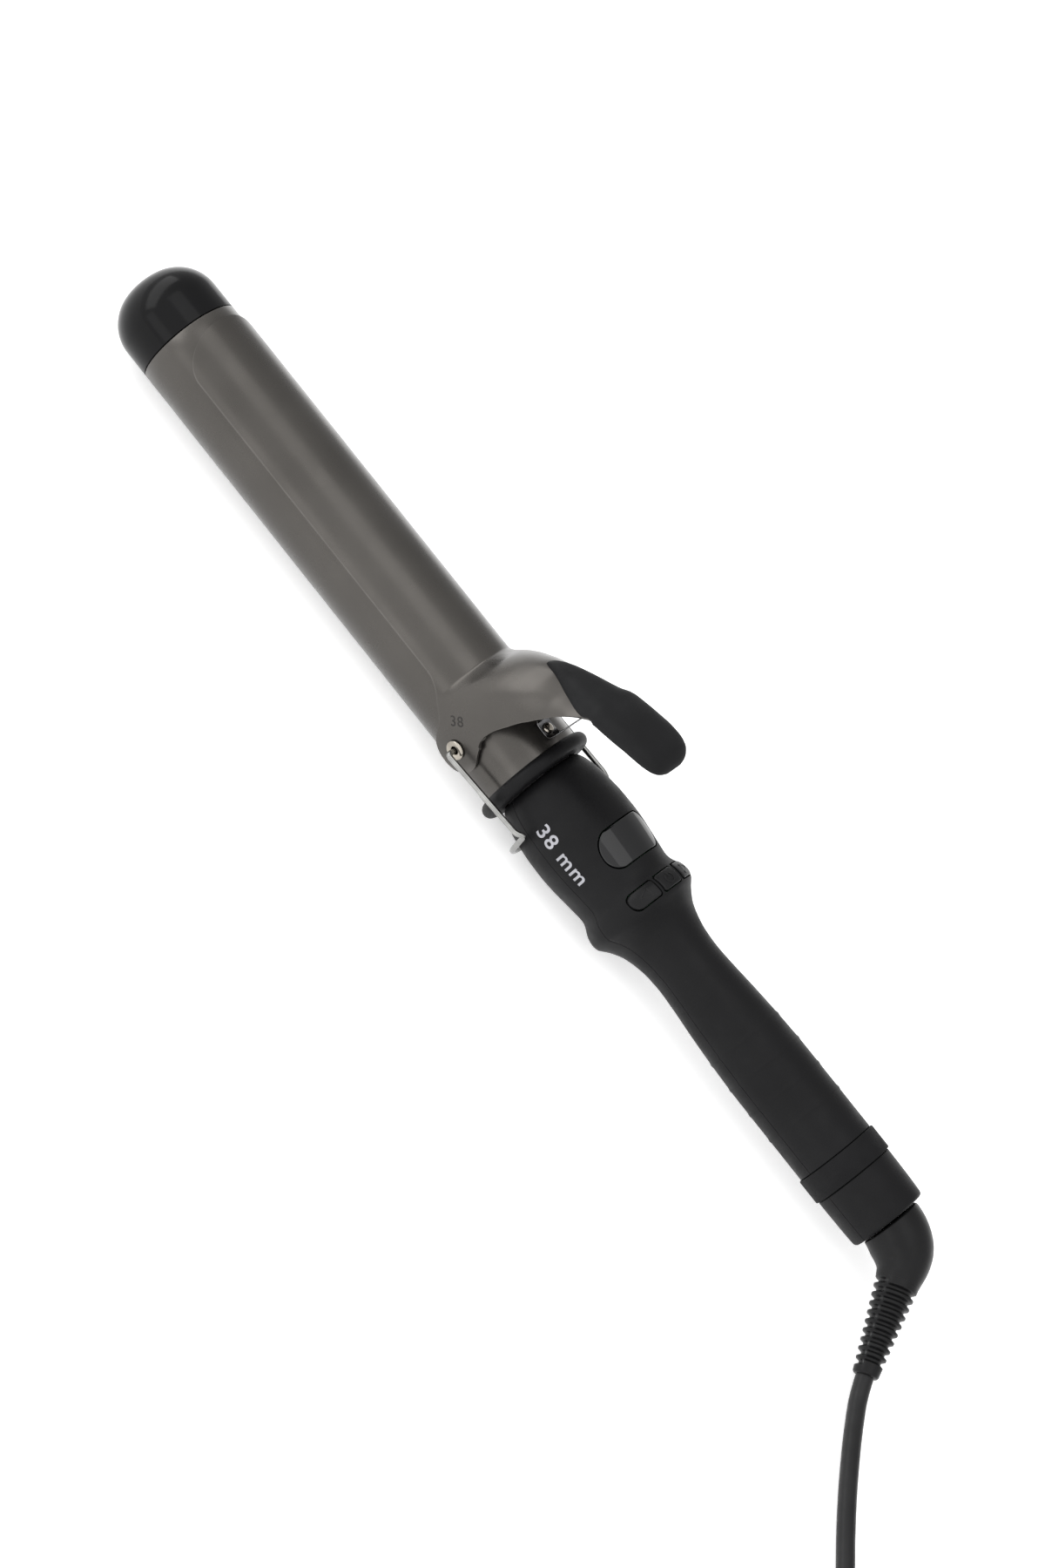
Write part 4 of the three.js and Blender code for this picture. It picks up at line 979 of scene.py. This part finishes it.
# ---- Display: a smoked, glossy lens that follows the handle's curve, dark while the iron is off ----
# It is snapped into the front shell over the display module, with a fine groove all round.
def pad(xs, ys, low_corner, high_corner, lift, depth, rounding, clearance, rows=41, columns=61):
    """A plate that follows the handle's surface inside an opening, with a rounded rim."""
    middle, half = (xs[0] + xs[1]) / 2, (xs[1] - xs[0]) / 2 - clearance
    across_plate = np.sin(np.linspace(-pi / 2, pi / 2, columns))
    loops = []
    for d in half * np.sin(np.linspace(-pi / 2, pi / 2, rows)):
        low = ys[0] + clearance + edge_inset(d, half, low_corner)
        high = ys[1] - clearance - edge_inset(d, half, high_corner)
        top_row, low_row = [], []
        for y in (low + high) / 2 + (high - low) / 2 * across_plate:
            inside = max(0, min(half - abs(d), y - low, high - y))
            drop = rounding * (1 - sqrt(1 - (1 - min(inside / rounding, 1)) ** 2))
            surface = sqrt(handle_radius(middle + d) ** 2 - y * y)
            top_row.append((middle + d, y, surface + lift - drop))
            low_row.append((middle + d, y, surface + lift - depth))
        loops.append(top_row + low_row[::-1])
    return skin(loops)


smoked_lens = finish("smoked_lens", (0.002, 0.0021, 0.0026), (0.003, 0.0032, 0.0038), 0.035, 0.07, 30,
                     (800, 0.004), specular_ior_level=0.35)
lens_plate = pad(window_x, window_y, window_end, window_end, lift=0.0, depth=1.3, rounding=0.35,
                 clearance=0.4)
lens = build("display_lens", *lens_plate, smoked_lens, sharp=60)
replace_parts(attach(lens, "handle"), "display_window")


# ---- Buttons: down, power and up, moulded as three caps on stems over the tact switches ----
# Each stands a little proud of the swell and carries a raised mark that fingers can read.
cap_lift, mark_width, mark_height = 0.4, 0.42, 0.22


def ridge(path):
    """A raised line on the button caps along a path of (x, y)."""
    line = np.array(path, float)
    rows = []
    for (x, y), (nx, ny) in zip(line, normals_of(line)):
        row = []
        for u, v in ((-0.5, -0.3), (-0.5, 0.4), (-0.28, 1), (0.28, 1), (0.5, 0.4), (0.5, -0.3)):
            px, py = x + nx * u * mark_width, y + ny * u * mark_width
            surface = sqrt(handle_radius(px) ** 2 - py * py)
            row.append((px, py, surface + cap_lift + v * mark_height))
        rows.append(row)
    return skin(rows)


def run_of(points, spacing=0.25):
    """Straight runs through the points, divided finely enough to follow the surface."""
    line = [np.array(points[0], float)]
    for a, b in zip(np.array(points, float), np.array(points[1:], float)):
        count = max(2, int(np.linalg.norm(b - a) / spacing))
        line += [a + (b - a) * k / count for k in range(1, count + 1)]
    return line


button_middle = sum(button_x) / 2
stem_radius, stem_foot = 1.2, 13.7
ring_radius, arrow_half, arrow_point, arrow_foot = 1.7, 1.9, 1.9, 1.5
button_rubber = finish("button_rubber", (0.003, 0.003, 0.0034), (0.0048, 0.0048, 0.0052), 0.34, 0.46, 120,
                       (2200, 0.03), wear=(0.3, (0.03, 0.03, 0.03)), specular_ior_level=0.17)
for name, ys, low, high, stem_y in button_plan:
    shapes = [pad(button_x, ys, low, high, lift=cap_lift, depth=2.4, rounding=0.4, clearance=0.42,
                  rows=29, columns=41)]
    if name == "power":
        ring_line = [(button_middle + 0.1 - ring_radius * cos(a), ring_radius * sin(a))
                     for a in np.radians(np.linspace(38, 322, 40))]
        bar_line = run_of([(button_middle - 2.2, 0), (button_middle - 0.2, 0)])
        shapes += [ridge(ring_line), ridge(bar_line)]
    else:
        point = copysign(1, stem_y)
        foot_y = sum(ys) / 2 - arrow_foot * point
        corners = [(button_middle + arrow_half, foot_y, 0),
                   (button_middle, sum(ys) / 2 + arrow_point * point, 0),
                   (button_middle - arrow_half, foot_y, 0), (button_middle + arrow_half, foot_y, 0)]
        shapes.append(ridge([p[:2] for p in bent(corners, 0.5, 4)]))
    stem_top = handle_radius(button_middle) * cos(stem_y / 18) - 1.3
    stem = [[(button_middle + stem_radius * cos(a), stem_y + stem_radius * sin(a), z)
             for a in full_turn(24)] for z in (stem_foot, stem_top)]
    button = build(f"{name}_button_cap", *put_together(*shapes, skin(stem)), button_rubber, sharp=50)
    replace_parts(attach(button, f"{name}_button"), f"button_{name}")


# ---- Size marks: the barrel's 38 mm size, printed in grey on the handle and marked on one ear ----
# The print is a thin film of ink. The ear's mark is a shallow raised one, darker than the coating.
def marking(text, height, weight, thickness):
    """A word as (points, faces) in its own plane, cut into fine slices so that it can be bent."""
    words = bpy.data.curves.new("words", "FONT")
    words.body, words.size, words.offset, words.extrude = text, height / 0.7, weight, thickness / 2
    words.align_x, words.align_y, words.space_character = "CENTER", "CENTER", 1.12
    flat = add_object("words", words)
    bpy.context.view_layer.update()
    mesh = bpy.data.meshes.new_from_object(flat)
    bpy.data.objects.remove(flat)
    cutting = bmesh.new()
    cutting.from_mesh(mesh)
    for line in np.arange(-height, height, 0.5):
        everything = cutting.verts[:] + cutting.edges[:] + cutting.faces[:]
        bmesh.ops.bisect_plane(cutting, geom=everything, plane_co=(0, line, 0), plane_no=(0, 1, 0))
    bmesh.ops.triangulate(cutting, faces=cutting.faces)
    cutting.verts.index_update()
    points = [tuple(v.co) for v in cutting.verts]
    faces = [tuple(v.index for v in face.verts) for face in cutting.faces]
    cutting.free()
    return points, faces


print_x, print_turn = 241.5, radians(-72)
words, faces = marking("38 mm", 5.4, 0.1, 0.06)
printed = []
for u, v, w in words:
    radius = handle_radius(print_x + u) + 0.035 + w
    angle = print_turn + v / handle_radius(print_x)
    printed.append((print_x + u, radius * sin(angle), radius * cos(angle)))
grey_ink = finish("grey_ink", (0.24, 0.24, 0.26), (0.31, 0.31, 0.335), 0.45, 0.6, 500, (2500, 0.02))
size_print = build("size_print", printed, faces, grey_ink, sharp=60)
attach(size_print, "handle")

stamp_x, stamp_z, stamp_turn = 185.6, 8.2, radians(50)
words, faces = marking("38", 3.6, 0.02, 0.12)
stamped = []
for u, v, w in words:
    x = stamp_x + u * cos(stamp_turn) - v * sin(stamp_turn)
    z = stamp_z + u * sin(stamp_turn) + v * cos(stamp_turn)
    place = clamp_point(x, -turn_at_height(x, z))
    stamped.append((x, place[1] - 0.02 - w / 2, z))
stamp_metal = finish("stamped_gunmetal", (0.026, 0.025, 0.024), (0.04, 0.038, 0.036), 0.3, 0.42, 200,
                     (2600, 0.01), metallic=0.85)
size_stamp = build("size_stamp", stamped, faces, stamp_metal, sharp=60)
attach(size_stamp, "clamp")


# ---- Inside: the heater, its wiring, the electronics and the swivel's contacts ----
# These keep the frame's own shapes, which the casings hide, and get the finishes of the real pieces.
ceramic = finish("fired_ceramic", (0.62, 0.58, 0.5), (0.78, 0.75, 0.68), 0.55, 0.75, 150, (1600, 0.06))
extrusion = finish("extruded_aluminium", (0.45, 0.46, 0.47), (0.6, 0.61, 0.62), 0.32, 0.46, 90,
                   (1500, 0.03), stretch=(0.05, 1, 1), metallic=1.0)
brass = finish("pressed_brass", (0.5, 0.34, 0.14), (0.64, 0.46, 0.2), 0.25, 0.4, 120, (1800, 0.02),
               wear=(0.3, (0.8, 0.62, 0.32)), metallic=1.0)
silicone = finish("silicone_insulation", (0.03, 0.03, 0.032), (0.05, 0.05, 0.053), 0.45, 0.6, 200,
                  (1500, 0.03))
laminate = finish("green_laminate", (0.008, 0.06, 0.02), (0.014, 0.1, 0.035), 0.3, 0.45, 350,
                  (1100, 0.06), stretch=(1, 1, 0.2), coat_weight=0.4)
resin = finish("moulded_resin", (0.018, 0.018, 0.019), (0.032, 0.032, 0.034), 0.45, 0.6, 200,
               (2000, 0.04), wear=(0.3, (0.1, 0.1, 0.1)))
inside = {
    ceramic: ("tip_insulator", "ptc_heater_plate", "thermistor"),
    extrusion: ("heat_spreader_upper", "heat_spreader_lower"),
    brass: ("electrode_upper", "electrode_lower", "slip_ring_live", "slip_ring_neutral", "brush_live",
            "brush_neutral"),
    nickel: ("thermal_fuse",),
    screw_steel: ("pivot_washer_left", "pivot_washer_right"),
    silicone: ("heater_lead_live", "heater_lead_neutral", "thermistor_lead", "handle_wire_live",
               "handle_wire_neutral"),
    laminate: ("circuit_board",),
    resin: ("base_bush", "display_module", "power_module", "tact_switch_down", "tact_switch_power",
            "tact_switch_up", "swivel_bush", "swivel_spindle"),
}
for material, names in inside.items():
    for name in names:
        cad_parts[name].data.materials.clear()
        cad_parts[name].data.materials.append(material)
bpy.data.materials.remove(stock)
